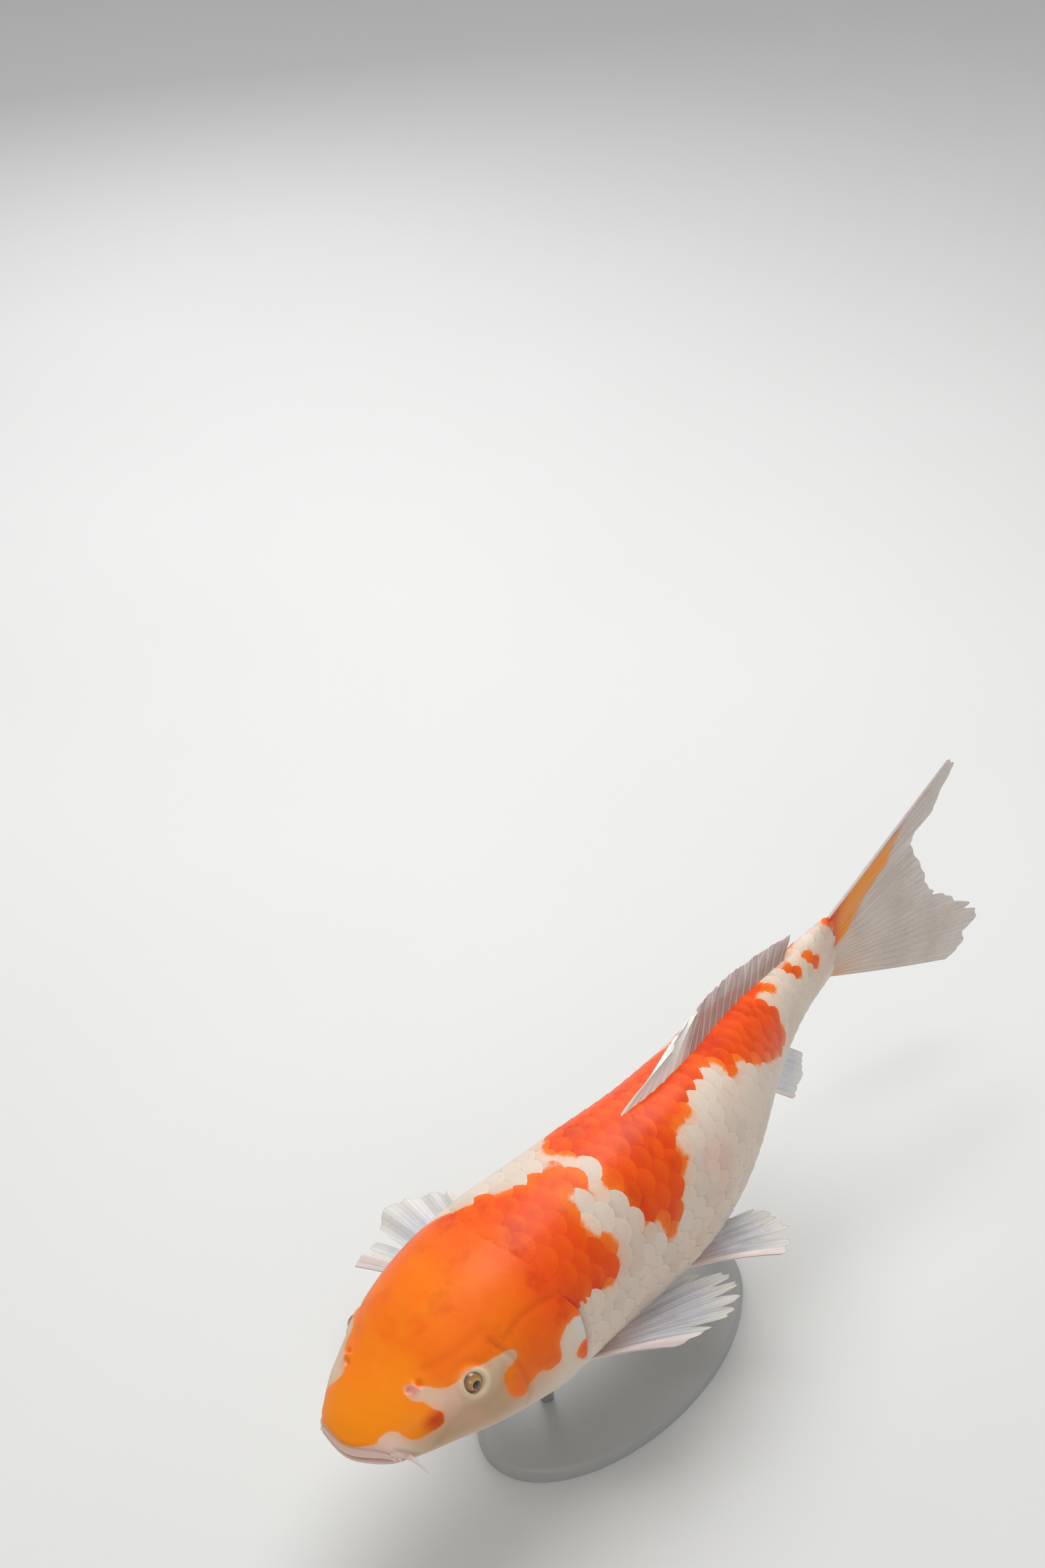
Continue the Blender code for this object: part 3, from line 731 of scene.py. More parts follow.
def koi_finish(name, scaled):
    """The skin's finish, or with scaled the coat's. Both read the same stored numbers."""
    f = Finish(name, Coat_Roughness=0.16, Coat_IOR=1.36, Specular_IOR_Level=0.24)
    station, flank, crease_shade = f.parts(f.own("body", "Vector"))
    deep = f.own("patch")
    broad, middling, fine = f.noise(28, 3.0), f.noise(120, 4.0, 0.6), f.noise(600, 3.0, 0.6)
    ragged = deep + (broad - 0.5) * 0.0050 + (middling - 0.5) * 0.0036 + (fine - 0.5) * 0.0010
    hi = f.step(ragged, -0.0008, 0.0008)
    thick = f.step(ragged, 0.0, 0.0060)

    red = f.mix(f.step(station, 0.02, 0.11), HI_SNOUT, HI_HEAD)
    red = f.mix(f.step(station + (broad - 0.5) * 0.16, 0.15, 0.31), red, HI_BACK)
    blotches = f.step(f.noise(38, 4.0, 0.62), 0.48, 0.68) * f.step(station, 0.04, 0.26) * 0.55
    red = f.mix(blotches, red, HI_DEEP)
    glow = f.step(f.noise(20, 3.0, 0.6), 0.45, 0.65) * f.step(station, 0.27, 0.06, 0.0, 0.60)
    red = f.mix(glow, red, HI_SNOUT)
    cheek = f.step(station, 0.048, 0.072) * f.step(station, 0.100, 0.088) * f.step(flank, 0.40, 0.24)
    red = f.mix(cheek * 0.85, red, HI_DEEP)
    red = f.mix((1 - thick) * f.step(station, 0.10, 0.35, 0.15, 0.60), red, HI_RIM)

    white = f.mix(f.step(station, 0.16, 0.30), WHITE_HEAD, WHITE_BACK)
    # painted shade: the lower cheek under the eye is darkened to tan
    cheek_shade = f.step(flank, 0.40, -0.05) * f.step(station, 0.25, 0.16) * f.step(station, 0.03, 0.07)
    white = f.mix(cheek_shade * 0.70, white, CHEEK_SHADE_TAN)
    white = f.mix(f.step(flank, -0.05, -0.6), white, WHITE_BELLY)
    white = f.mix(f.step(f.noise(18, 3.0, 0.6), 0.50, 0.72) * 0.35, white, BLUSH)
    white = f.mix(f.step(station, 0.045, 0.015) * 0.8, white, LIP_PALE)
    along, around = f.math("ABSOLUTE", station - 0.079), f.math("ABSOLUTE", flank - 0.63)
    white = f.mix(f.step(along, 0.014, 0.004) * f.step(around, 0.10, 0.03) * 0.75, white, NOSTRIL_PINK)
    white = f.mix(f.step(ragged, -0.0060, 0.0) * 0.22, white, HI_RIM)
    colour = f.mix(hi, white, red)
    roughness = 0.46 + (fine - 0.5) * 0.14

    if scaled:
        across, back, chance = f.parts(f.own("lie", "Vector"))
        settled = f.step(station, 0.26, 0.40, 0.1, 1.0)
        rim = f.step(f.own("rim"), 0.80, 1.0)
        colour = f.mix(hi * settled * f.step(chance, 0.35, 1.0, 0.0, 0.30), colour, HI_DEEP)
        colour = f.mix(hi * f.step(back, 0.15, 0.9) * 0.30, colour, HI_HEAD)
        colour = f.mix(rim * (1 - hi) * 0.14, colour, paint(0.97, 0.94, 0.90))
        # white scales are darker at random, and darkened towards the root as painted shadow under the scale
        # in front
        tone_and_root_shadow = f.step(chance, 0.45, 1.0, 0.0, 0.10) + f.step(back, 0.30, -0.30, 0.0, 0.16)
        colour = f.mix((1 - hi) * tone_and_root_shadow, colour, SHADE)
        pore = f.own("line") * f.step(f.math("ABSOLUTE", across), 0.10, 0.05) * f.step(back, 0.55, 0.40)
        pore = pore * f.step(back, -0.2, 0.0)
        colour = f.mix(pore * 0.10, colour, SHADE)
        spokes = f.math("SINE", across / (back + 1.7) * 60.0)
        rings = f.math("SINE", f.own("rim") * 120.0)
        relief = f.bump(spokes * 0.6 * f.step(back, -0.2, 0.8) + rings * 0.12 + pore * 3.0, 0.00006, 0.45)
        normal = f.bump(middling, 0.0006, 0.30, relief)
    else:
        lid, hem, _ = f.parts(f.own("bare", "Vector"))
        colour = f.mix(hem * (1 - hi) * 0.50, colour, HEM_BLUE)
        colour = f.mix(lid * 0.45 * (1 - hi * 0.5), colour, LID_CREAM)
        # painted shade in the creases, the gill folds and the mouth
        colour = f.mix(crease_shade * 0.34, colour, f.mix(hi, CREASE_SHADE, CREASE_SHADE_ON_HI))
        pores = f.node("TexVoronoi", {"feature": "F1"}, {"Vector": f.where(), "Scale": 260.0})
        pitted = f.step(pores, 0.0, 0.16) * f.step(station, 0.24, 0.20)
        relief = f.bump(pitted, 0.0002, 0.20)
        normal = f.bump(middling + fine * 0.4, 0.0008, 0.30, relief)
    wet = 0.11 + (broad - 0.5) * 0.10
    return f.show(Base_Color=colour, Roughness=roughness, Coat_Weight=wet, Normal=normal)


skin_finish = koi_finish("koi_skin", False)
scale_finish = koi_finish("koi_scales", True)

# %% [markdown]
# ## The skin
#
# The lattice is rolled up: its first and last columns meet under the belly and are
# merged there, its first ring closes as the mouth and its last as the root of the tail.

# %% Build the skin
FLESH = (
    "head", "lower_jaw", "gill_cover_left", "gill_cover_right", "trunk_front", "trunk_rear", "tail_stalk",
)
HEM_END = 0.295


def make_skin():
    bm, across, along = grid(AROUND, sum(RINGS.values()))
    points, t, angle, crease_shade = skin_places(across, along)
    edge = gill_edge(above_flank(angle))
    hem = gill_open(angle) * ease(t, edge - 0.020, edge - 0.006) * (t < HEM_END)
    put(
        bm, points,
        body=np.stack([t, above_flank(angle) / 90, crease_shade], 1),
        bare=np.stack([lid_ring(points), hem, t * 0], 1),
        spot=np.stack([t, angle, t * 0], 1),
    )
    bmesh.ops.remove_doubles(bm, verts=bm.verts, dist=2e-6)
    skin = finish_piece("skin", bm, skin_finish, FLESH)
    spots = read_vectors(skin, "spot")
    add_values(skin, patch=patch_depth(spots[:, 0], spots[:, 1]))
    skin.data.attributes.remove(skin.data.attributes["spot"])
    return skin


skin = make_skin()

# %% [markdown]
# ## The scales
#
# Scales sit in rows along the body, each row half a scale out of step with the next, and
# each scale covers the roots of the ones behind. A carp has about 35 along the lateral
# line and about six rows above and below it. Rows run parallel to that line and end where
# they reach the back or the belly. One scale is a disc of a few dozen faces. A copy of it
# for each place is joined into one mesh, and laid on the body by function.

# %% Rows of scales
ROWS = 7
RIDGE_ROW = ROWS + 1  # the single file of scales over the tail stalk
RIDGE_STATIONS = (0.870, 0.888, 0.906, 0.924, 0.942)
FIRST_SCALE, SCALE_PITCH, LAST_SCALE = 0.275, 0.0225, 0.962
COVER_GAP = 0.007  # from the gill cover's edge to the middles of the first scales
CLOSING = 0.00008  # half of how much shorter each pitch is than the one before
MEAN_PITCH = 0.0205
QUARTER_STEPS = 45
QUARTER_ANGLES = np.linspace(0, 90, QUARTER_STEPS + 1)
ROW_STATIONS = np.linspace(0.18, 0.98, 81)


def quarter(sign):
    """The angles at even shares of the way from the flank to the back or belly, by station."""
    angles = []
    shares = np.linspace(0, 1, QUARTER_STEPS + 1)
    for t in ROW_STATIONS:
        points = on_body(np.full(QUARTER_STEPS + 1, t), QUARTER_ANGLES * sign)
        run = np.concatenate([[0], np.cumsum(np.linalg.norm(np.diff(points, axis=0), axis=1))])
        angles.append(np.interp(shares, run / run[-1], QUARTER_ANGLES))
    return np.array(angles)


QUARTERS = {1: quarter(1), -1: quarter(-1)}
rows_up = through([(0.2, 7.0), (0.46, 7.0), (0.62, 6.3), (0.76, 5.3), (0.88, 4.3), (1.0, 4.0)])


def row_angle(t, row, sign, share=0.0):
    """The angle above or below the lateral line of a row, share rows further out."""
    q = np.clip((row + share) / rows_up(t), 0, 1.15)
    k = (t - ROW_STATIONS[0]) / (ROW_STATIONS[1] - ROW_STATIONS[0])
    k = np.clip(k, 0, len(ROW_STATIONS) - 1.001)
    table = QUARTERS[sign]
    i, j = k.astype(int), np.clip(q * QUARTER_STEPS, 0, QUARTER_STEPS - 1.001).astype(int)
    a, b = k - i, q * QUARTER_STEPS - j
    near = table[i, j] * (1 - b) + table[i, j + 1] * b
    far = table[i + 1, j] * (1 - b) + table[i + 1, j + 1] * b
    return near * (1 - a) + far * a


def line_station(index):
    """The station of the middle of a scale, counted along the lateral line."""
    return FIRST_SCALE + SCALE_PITCH * index - CLOSING * index * index


# %% One scale
SEGMENTS = 14
SCALE_THICK = 0.00020
REACH_ALONG, REACH_ROUND = 1.02, 0.80  # of a scale from its middle, in pitches and rows
SLIP_ALONG, SLIP_ROUND = 0.08, 0.10  # the span that chance moves a scale within, likewise
RIDGE_REACH = 34  # degrees round the back that a scale of the single file reaches to each side
FREE_RISE = 0.00094  # how far a scale's free edge stands off the bed
RISE_LESS = 0.00030  # and how much less it does so next to the head
UV_RADIUS = 0.0015  # of a scale's patch on the bake's map
UNDER_SHIFT = 0.0036  # keeps its underside's patch clear of its top's


def unit_scale():
    """A disc of radius 1 with a ring inside it and a flat underside."""
    bm = bmesh.new()
    bmesh.ops.create_circle(bm, cap_ends=True, cap_tris=False, segments=SEGMENTS, radius=1.0)
    top = bm.faces[:]
    under = bmesh.ops.extrude_face_region(bm, geom=top, use_keep_orig=True)["geom"]
    for part in under:
        if isinstance(part, bmesh.types.BMVert):
            part.co.z = -1.0
    bmesh.ops.inset_region(bm, faces=top, thickness=0.42, use_even_offset=True)
    bmesh.ops.poke(bm, faces=[face for face in bm.faces if len(face.verts) > 4])
    bmesh.ops.recalc_face_normals(bm, faces=bm.faces)
    return mesh_from("unit_scale", bm)


# %% Where the scales go
def scale_places():
    """The station of each scale's middle, its row and its side: 1 left, -1 right."""
    found = []
    for side in SIDES.values():
        for row in range(-ROWS, ROWS + 1):
            if side < 0 and abs(row) == ROWS:
                continue
            sign = 1 if row >= 0 else -1
            for step in range(-4, 36):
                t = line_station(step + 0.5 * (row % 2))
                angle = sign * float(row_angle(np.array([t]), abs(row), sign)[0])
                ends = abs(row) > float(rows_up(t)) + (0.05 if abs(row) == ROWS else -0.35)
                if t < gill_edge(angle) + COVER_GAP or t > LAST_SCALE or ends:
                    continue
                found.append((t, row, side))
    return np.array(found + [(station, RIDGE_ROW, 1) for station in RIDGE_STATIONS])


def make_scales():
    unit = unit_scale()
    local = np.array([corner.co[:] for corner in unit.vertices])
    places = scale_places()
    chance = np.random.default_rng(7).random((len(places), 3))
    bm = bmesh.new()
    bm.loops.layers.uv.new("OFBake")
    for _ in places:
        bm.from_mesh(unit)
    count = len(local)

    def each(numbers):
        """One number for each scale, given to all of its corners."""
        return np.repeat(numbers, count)

    t0, row, side = (each(numbers) for numbers in places.T)
    x, y, z = np.tile(local, (len(places), 1)).T
    ridge = row == RIDGE_ROW
    sign = np.where(row >= 0, 1, -1)
    jitter, sway = each(chance[:, 1] - 0.5), each(chance[:, 2] - 0.5)

    pitch_along = SCALE_PITCH - 2 * CLOSING * (t0 - FIRST_SCALE) / MEAN_PITCH
    length = pitch_along * REACH_ALONG
    t = t0 + y * length * np.where(y > 0, 0.92, 1.0) + SLIP_ALONG * pitch_along * jitter
    width = REACH_ROUND * (1 - 0.10 * y * np.abs(y))
    angle = np.zeros(len(t))
    for s in (1, -1):
        mine = (sign == s) & ~ridge
        rows = np.abs(row[mine])
        middle = row_angle(t[mine], rows, s)
        outer = np.maximum(rows, 0.5)
        per_row = 2 * (row_angle(t[mine], outer, s) - row_angle(t[mine], outer - 0.5, s))
        angle[mine] = s * (middle + (x[mine] * width[mine] + SLIP_ROUND * sway[mine]) * s * per_row)
    angle[ridge] = 90 + x[ridge] * RIDGE_REACH
    angle = np.where(side > 0, angle, 180 - angle)

    # the roots of the first scales are tucked under the gill cover
    flank = above_flank(angle)
    behind = t - gill_edge(flank)
    free = gill_open(angle)
    bed = free * fold_after(behind) + (1 - free) * -TRUNK_BED
    bed = np.where(behind < 0.0, bed - 0.0022, bed)
    rise = FREE_RISE - RISE_LESS * (1 - ease(t0, 0.28, 0.40))
    lift = rise * ((y + 1) / 2) ** 1.1 - 0.00010 * x * x - 0.0001 + 0.00010 * jitter + 0.00012 * sway * x
    out = bed + lift + np.where(z < 0, -SCALE_THICK, 0.0)
    points = on_body(t, angle, out)

    radial = np.hypot(x, y)
    put(
        bm, points,
        body=np.stack([t, flank / 90, t * 0], 1),
        lie=np.stack([x, y, each(chance[:, 0])], 1),
    )
    scales = finish_piece("scales", bm, scale_finish, outwards=False, crisp=40)
    middle = np.repeat(angle.reshape(-1, count).mean(1), count)
    # a scale is partly coloured as a whole, so the patches' edges step from scale to scale
    own = patch_depth(t, angle)
    whole = patch_depth(t0 + 0.15 * pitch_along, middle)
    add_values(scales, patch=0.45 * own + 0.55 * whole, rim=radial, line=(row == 0).astype(float))

    # each scale is one small patch of the bake's map, at its root's place on the body
    corners = np.empty(len(scales.data.loops), np.int32)
    scales.data.loops.foreach_get("vertex_index", corners)
    u = ((middle + 90) % 360) / 360 * 0.98 + 0.01 + x * UV_RADIUS + np.where(z < 0, UNDER_SHIFT, 0.0)
    v = t0 * 0.98 + 0.01 + y * UV_RADIUS
    uv = np.stack([u, v], 1)[corners].astype(np.float32)
    scales.data.uv_layers["OFBake"].data.foreach_set("uv", uv.ravel())
    print("scales:", len(places))
    return scales


scales = make_scales()

# %% [markdown]
# ## The fins
#
# A fin is a fan of bony rays with a thin skin between them. Each ray starts single,
# splits towards its tip and is thicker than the skin it carries, and the free edge is
# scalloped between ray tips. A flat card with painted rays would look dead from the side,
# so each fin is a thin closed wall whose thickness swells along every ray.

# %% Fans of rays
DORSAL_BASE = (0.447, 0.852)
DORSAL_TIPS = (
    (0.0, 0.132, 0.027, 0.006), (0.15, 0.118, 0.032, 0.014), (0.45, 0.075, 0.029, 0.020),
    (0.75, 0.055, 0.025, 0.018), (1.0, 0.040, 0.014, 0.010),
)
ANAL_BASE = (0.755, 0.822)
ANAL_TIPS = ((0.0, 0.085, 0.088), (0.4, 0.075, 0.072), (1.0, 0.045, 0.040))
TAIL_TIPS = (
    # share from the upper leading ray to the lower, station, height and lean to the left of its tip
    (0.0, 1.238, 0.150, -0.014), (0.06, 1.240, 0.139, -0.014), (0.175, 1.192, 0.098, -0.006),
    (0.35, 1.165, 0.046, -0.016), (0.50, 1.158, -0.008, 0.010), (0.65, 1.200, -0.050, 0.026),
    (0.825, 1.234, -0.096, 0.037), (0.94, 1.208, -0.131, 0.043), (1.0, 1.172, -0.140, 0.046),
)
TAIL_BOW = 0.001
TAIL_ROOT = 0.958
TAIL_ROOT_HALF = 0.050
# share of the fan, length, and how far each ray points sideways and down, in degrees
PECTORAL_TIPS = {
    "left": (
        (0.0, 0.130, 28, 10), (0.2, 0.191, 22, 7.5), (0.45, 0.225, 17, 4.5), (0.75, 0.2135, 11, 1.5),
        (1.0, 0.155, 5, -1.5),
    ),
    "right": (
        (0.0, 0.219, 102, 11.5), (0.2, 0.220, 94, 5.5), (0.45, 0.231, 85, -0.5), (0.75, 0.205, 74, -6),
        (1.0, 0.166, 68, -10),
    ),
}
PECTORAL_ROOTS = ((0.283, -47), (0.312, -60))
PELVIC_TIPS = {
    "left": ((0.0, 0.148, 36, 4), (0.3, 0.162, 27, 1), (0.7, 0.150, 16, 0), (1.0, 0.105, 7, 4)),
    "right": ((0.0, 0.148, 36, 12), (0.3, 0.160, 27, 11), (0.7, 0.140, 16, 12), (1.0, 0.095, 7, 14)),
}
PELVIC_ROOTS = ((0.470, -58), (0.492, -74))


def column(table, index):
    return through([(row[0], row[index]) for row in table])


def dorsal_fan(f):
    """Roots, tips and bow of the dorsal fin's rays at fractions along its base."""
    station = DORSAL_BASE[0] + (DORSAL_BASE[1] - DORSAL_BASE[0]) * f
    end = station + column(DORSAL_TIPS, 1)(f)
    tips = place(end, -column(DORSAL_TIPS, 3)(f), height(end) + column(DORSAL_TIPS, 2)(f))
    return place(station, 0.0, height(station) - 0.012), tips, axes_at(0.6)[2] * 0.004 + tips * 0


def anal_fan(f):
    station = ANAL_BASE[0] + (ANAL_BASE[1] - ANAL_BASE[0]) * f
    tips = place(station + column(ANAL_TIPS, 1)(f), 0.020, -depth(station) - column(ANAL_TIPS, 2)(f))
    return place(station, 0.0, 0.012 - depth(station)), tips, axes_at(0.8)[1] * -0.002 + tips * 0


def tail_fan(f):
    """Both lobes as one fan, from the upper leading ray through the fork to the lower one."""
    roots = place(TAIL_ROOT + f * 0, 0.0, TAIL_ROOT_HALF * (1 - 2 * f))
    tips = place(column(TAIL_TIPS, 1)(f), column(TAIL_TIPS, 3)(f), column(TAIL_TIPS, 2)(f))
    return roots, tips, axes_at(1.0)[2] * TAIL_BOW * (1 - 2 * f)[:, None]


def paired_fan(side, roots, table, bow):
    """A fin on one side, whose rays spread out sideways and droop a little."""
    (first, first_angle), (last, last_angle) = roots
    back, left, up = axes_at((first + last) / 2)

    def fan(f):
        angle = first_angle + (last_angle - first_angle) * f
        start = on_body(first + (last - first) * f, angle if side > 0 else 180 - angle, -0.006)
        out, down = (np.radians(column(table, index)(f))[:, None] for index in (2, 3))
        way = (back * np.cos(out) + left * side * np.sin(out)) * np.cos(down) - up * np.sin(down)
        return start, start + way * column(table, 1)(f)[:, None] * UNIT, up * bow + way * 0

    return fan


# %% [markdown]
# A ray's ridge is a narrow swelling across the fin. Past the middle of its length it
# splits into two ridges that drift apart. The fin also ripples, more towards the free
# edge, as a fin does when the fish glides.

# %% One fin
RAY_COLUMNS = 8  # columns of faces that one ray and its skin take
SPLIT_START, SPLIT_APART = 0.35, 0.24  # where a ray splits, and how far its halves drift


def ray_ridges(phase, out):
    """The swelling of a ray at a phase across it, from -0.5 to 0.5, and a share of its length."""
    apart = SPLIT_APART * ease(out, SPLIT_START, 1.0)
    wide = 0.13 - 0.03 * out
    one, other = (np.exp(-(((phase - middle) / wide) ** 2)) for middle in (apart, -apart))
    return np.maximum(one, other) * (1 - 0.45 * out)


def torn(share, splits):
    """How far each ray reaches where the free edge is split between bundles of rays."""
    reach = np.ones(len(share))
    for middle, deep, wide in splits:
        reach -= deep * np.clip(1 - np.abs(share - middle) / wide, 0, 1) ** 1.3
    return reach


def fin(
    name, fan, rays, along, thick, ripple, material, replaced,
    splits=(), soft_edge=0.035, seed=0.0, waves=2.5,
):
    """A fan of rays as one closed wall. thick is the rays' and the skin's, at the root."""
    bm, share, out = grid(rays * RAY_COLUMNS, along)
    out = 1 - (1 - out) ** 1.15
    roots, tips, bow = fan(share)
    phase = (share * rays) % 1.0 - 0.5
    ridge = ray_ridges(phase, out)
    notch = 1 - soft_edge * (1 - np.cos(2 * pi * phase)) / 2 * ease(out, 0.6, 1.0)
    notch *= 1 - 0.02 * np.sin(share * rays * 0.9 + seed) * out
    notch *= 1 + (torn(share, splits) - 1) * ease(out, 0.30, 1.0)
    reach = (out * notch)[:, None]
    points = roots * (1 - reach) + tips * reach + bow * (4 * reach * (1 - reach))
    put(bm, points, fan=np.stack([phase, out, share], 1))
    bm.normal_update()
    normals = np.array([corner.normal[:] for corner in bm.verts])
    wave = np.sin(share * waves * 2 * pi + out * 2.2 + seed) * 0.6
    wave += np.sin(share * waves * 5.3 * pi + seed * 2) * 0.4
    points = points + normals * (wave * ripple * ease(out, 0.15, 1.0))[:, None]
    half = (thick[1] + (thick[0] - thick[1]) * ridge) * (1 - 0.62 * out**0.8) / 2
    for corner, point, normal, wall in zip(bm.verts, points, normals, half):
        corner.co = point + normal * wall
    grown = bmesh.ops.extrude_face_region(bm, geom=bm.faces[:], use_keep_orig=True)["geom"]
    copies = [part for part in grown if isinstance(part, bmesh.types.BMVert)]
    for corner, point, normal, wall in zip(copies, points, normals, half):
        corner.co = point - normal * wall
    return finish_piece(name, bm, material, replaced)


# %% The fins' finish
RAY_PALE = paint(0.97, 0.95, 0.93)
FIN_SMOKE = paint(0.54, 0.46, 0.45)


def fin_finish(name, root, skin_tint, lead, lead_share=0.0, warm=None, clear=0.5, tips=None):
    """Rays over a see-through skin, opaque at the root. lead is the leading edge's colour."""
    f = Finish(name, Coat_Roughness=0.10, Specular_IOR_Level=0.45)
    phase, out, share = f.parts(f.own("fan", "Vector"))
    split = f.step(out, SPLIT_START, 1.0) * SPLIT_APART
    near = f.math("ABSOLUTE", f.math("ABSOLUTE", phase) - split)
    ray = f.step(near, 0.16, 0.03)
    streaks = f.noise(150, 3.0, 0.6)
    cloudy = f.noise(40, 3.0)
    colour = f.mix(f.step(out + (streaks - 0.5) * 0.2, 0.05, 0.60), root, skin_tint)
    colour = f.mix(f.step(cloudy, 0.45, 0.75) * 0.20, colour, FIN_SMOKE)
    colour = f.mix(ray * f.step(cloudy, 0.7, 0.3, 0.15, 0.50), colour, RAY_PALE)
    solid = ray * 0.18 + f.step(out, 0.50, 0.0, 0.0, 0.36) + clear
    if tips:
        frayed = f.step(out + (streaks - 0.5) * 0.3, 0.72, 1.0)
        colour = f.mix(frayed * 0.7, colour, tips)
    if lead_share:
        edge = f.step(share + (streaks - 0.5) * 0.02, lead_share, lead_share * 0.6)
        colour = f.mix(edge, colour, lead)
        solid = solid + edge * 0.8
    if warm:
        strip = f.step(share + out * 0.56 + (cloudy - 0.5) * 0.10, 0.62, 0.54)
        strip = strip * f.step(share, 0.005 + out * 0.05, 0.02 + out * 0.09)
        strip = strip * f.step(out + (streaks - 0.5) * 0.16, 0.62, 0.50)
        colour = f.mix(f.step(out, 0.30, 0.0) * f.step(share, 0.70, 0.95) * 0.35, colour, warm)
        colour = f.mix(strip, colour, f.mix(f.step(out, 0.02, 0.20), HI_BACK, warm))
        solid = solid + strip * 0.8
    joints = f.math("SINE", out * 240.0)
    relief = f.bump(ray * 0.5 + joints * ray * 0.2, 0.00030, 0.5)
    return f.show(
        Base_Color=colour,
        Alpha=f.math("MINIMUM", solid, 1.0),
        Roughness=0.36 + (streaks - 0.5) * 0.2,
        Coat_Weight=0.25 + ray * 0.15,
        Normal=relief,
    )


PEARL, LAVENDER, CREAM = paint(0.95, 0.88, 0.85), paint(0.84, 0.84, 0.87), paint(0.96, 0.94, 0.88)
dorsal_finish = fin_finish(
    "dorsal_membrane", paint(0.76, 0.62, 0.57), paint(0.69, 0.56, 0.52), paint(0.98, 0.97, 0.94), 0.38,
    clear=0.64,
)
paired_finish = fin_finish(
    "paired_membrane", paint(0.95, 0.82, 0.78), LAVENDER, PEARL, 0.12, clear=0.60, tips=CREAM,
)
tail_finish = fin_finish(
    "tail_membrane", paint(0.90, 0.81, 0.74), paint(0.76, 0.66, 0.58), paint(0.95, 0.87, 0.85), 0.030,
    warm=paint(1.0, 0.60, 0.04), clear=0.52, tips=paint(0.84, 0.80, 0.76),
)

# %% Build the fins
# where each fin's free edge is split: share of the fan, depth as a share of the ray, half width
SPLITS = {
    "dorsal": ((0.30, 0.06, 0.03), (0.52, 0.10, 0.02), (0.74, 0.07, 0.03)),
    "tail": (
        (0.27, 0.05, 0.03), (0.58, 0.05, 0.02), (0.70, 0.04, 0.03), (0.78, 0.06, 0.02),
        (0.89, 0.05, 0.03),
    ),
    "pectoral_left": (
        (0.18, 0.20, 0.035), (0.34, 0.12, 0.03), (0.47, 0.16, 0.035), (0.64, 0.14, 0.04),
        (0.82, 0.20, 0.05),
    ),
    "pectoral_right": ((0.11, 0.10, 0.025), (0.23, 0.34, 0.045), (0.50, 0.02, 0.06), (0.80, 0.05, 0.05)),
    "pelvic_left": ((0.26, 0.30, 0.06), (0.50, 0.16, 0.05), (0.76, 0.22, 0.06)),
    "pelvic_right": ((0.36, 0.12, 0.05), (0.70, 0.10, 0.05)),
}
fin(
    "dorsal", dorsal_fan, 21, 26, (0.0020, 0.0013), 0.0019, dorsal_finish, ["dorsal_fin"],
    SPLITS["dorsal"], seed=0.6, waves=3.0,
)
fin(
    "anal", anal_fan, 8, 26, (0.0022, 0.0011), 0.0010, paired_finish, ["anal_fin"],
    soft_edge=0.014, seed=1.0,
)
fin(
    "tail", tail_fan, 22, 56, (0.0024, 0.0015), 0.0016, tail_finish, ["tail_fin_upper", "tail_fin_lower"],
    SPLITS["tail"], soft_edge=0.014, seed=2.0, waves=3.0,
)
for word, side in SIDES.items():
    name = f"pectoral_{word}"
    fan = paired_fan(side, PECTORAL_ROOTS, PECTORAL_TIPS[word], 0.004)
    fin(
        name, fan, 16, 48, (0.0017, 0.0014), 0.0018, paired_finish, [f"pectoral_fin_{word}"], SPLITS[name],
        soft_edge=0.004 if side < 0 else 0.025, seed=side,
    )
    name = f"pelvic_{word}"
    fan = paired_fan(side, PELVIC_ROOTS, PELVIC_TIPS[word], 0.003)
    fin(
        name, fan, 10, 36, (0.0017, 0.0013), 0.0014, paired_finish, [f"pelvic_fin_{word}"], SPLITS[name],
        seed=3 * side,
    )

# %% [markdown]
# ## The eyes
#
# A fish's eye is a ball with a flat clear window. Behind it lies a metallic iris round a
# black pupil, which is a little longer towards the front. The iris is gold, and its lower
# part is painted red-brown as shade under light from above. A separate glass dome over a
# hollow iris is closest to the real thing, but at this size one ball with a strong clear
# coat looks the same and stays simple.

# %% The eye's finish
def eye_finish():
    f = Finish("eye_glaze", Coat_Weight=1.0, Coat_Roughness=0.02, Coat_IOR=1.45, Specular_IOR_Level=0.5)
    from_gaze, around, high = f.parts(f.own("gaze", "Vector"))
    grain = f.noise(900, 3.0, 0.7)
    spokes = f.math("SINE", around * 34.0 + grain * 6.0) * 0.5 + 0.5
    gold = f.mix(spokes * 0.4 + grain * 0.3, paint(0.82, 0.64, 0.30), paint(0.62, 0.40, 0.18))
    gold = f.mix(f.step(from_gaze, 0.60, 0.90), gold, paint(0.62, 0.45, 0.26))
    # the lower iris is painted red-brown, as shade under light from above
    gold = f.mix(f.step(high, 0.60, -0.25) * 0.75, gold, paint(0.52, 0.19, 0.13))
    gold = f.mix(f.step(from_gaze, 0.98, 1.22), gold, paint(0.42, 0.34, 0.36))
    ring = f.step(from_gaze, 0.42, 0.45) * f.step(from_gaze, 0.54, 0.48)
    gold = f.mix(ring * 0.5, gold, paint(0.92, 0.76, 0.40))
    pupil = f.step(from_gaze, 0.44, 0.40)
    colour = f.mix(pupil, gold, paint(0.05, 0.03, 0.04))
    return f.show(Base_Color=colour, Roughness=0.32 - pupil * 0.12, Metallic=0.25 * (1 - pupil))


iris_finish = eye_finish()


# %% Build the eyes
WINDOW_FLATNESS = 0.90  # of the eye's outer half, against a ball's
PUPIL_LEAN = 0.16  # how much longer the pupil is towards the front


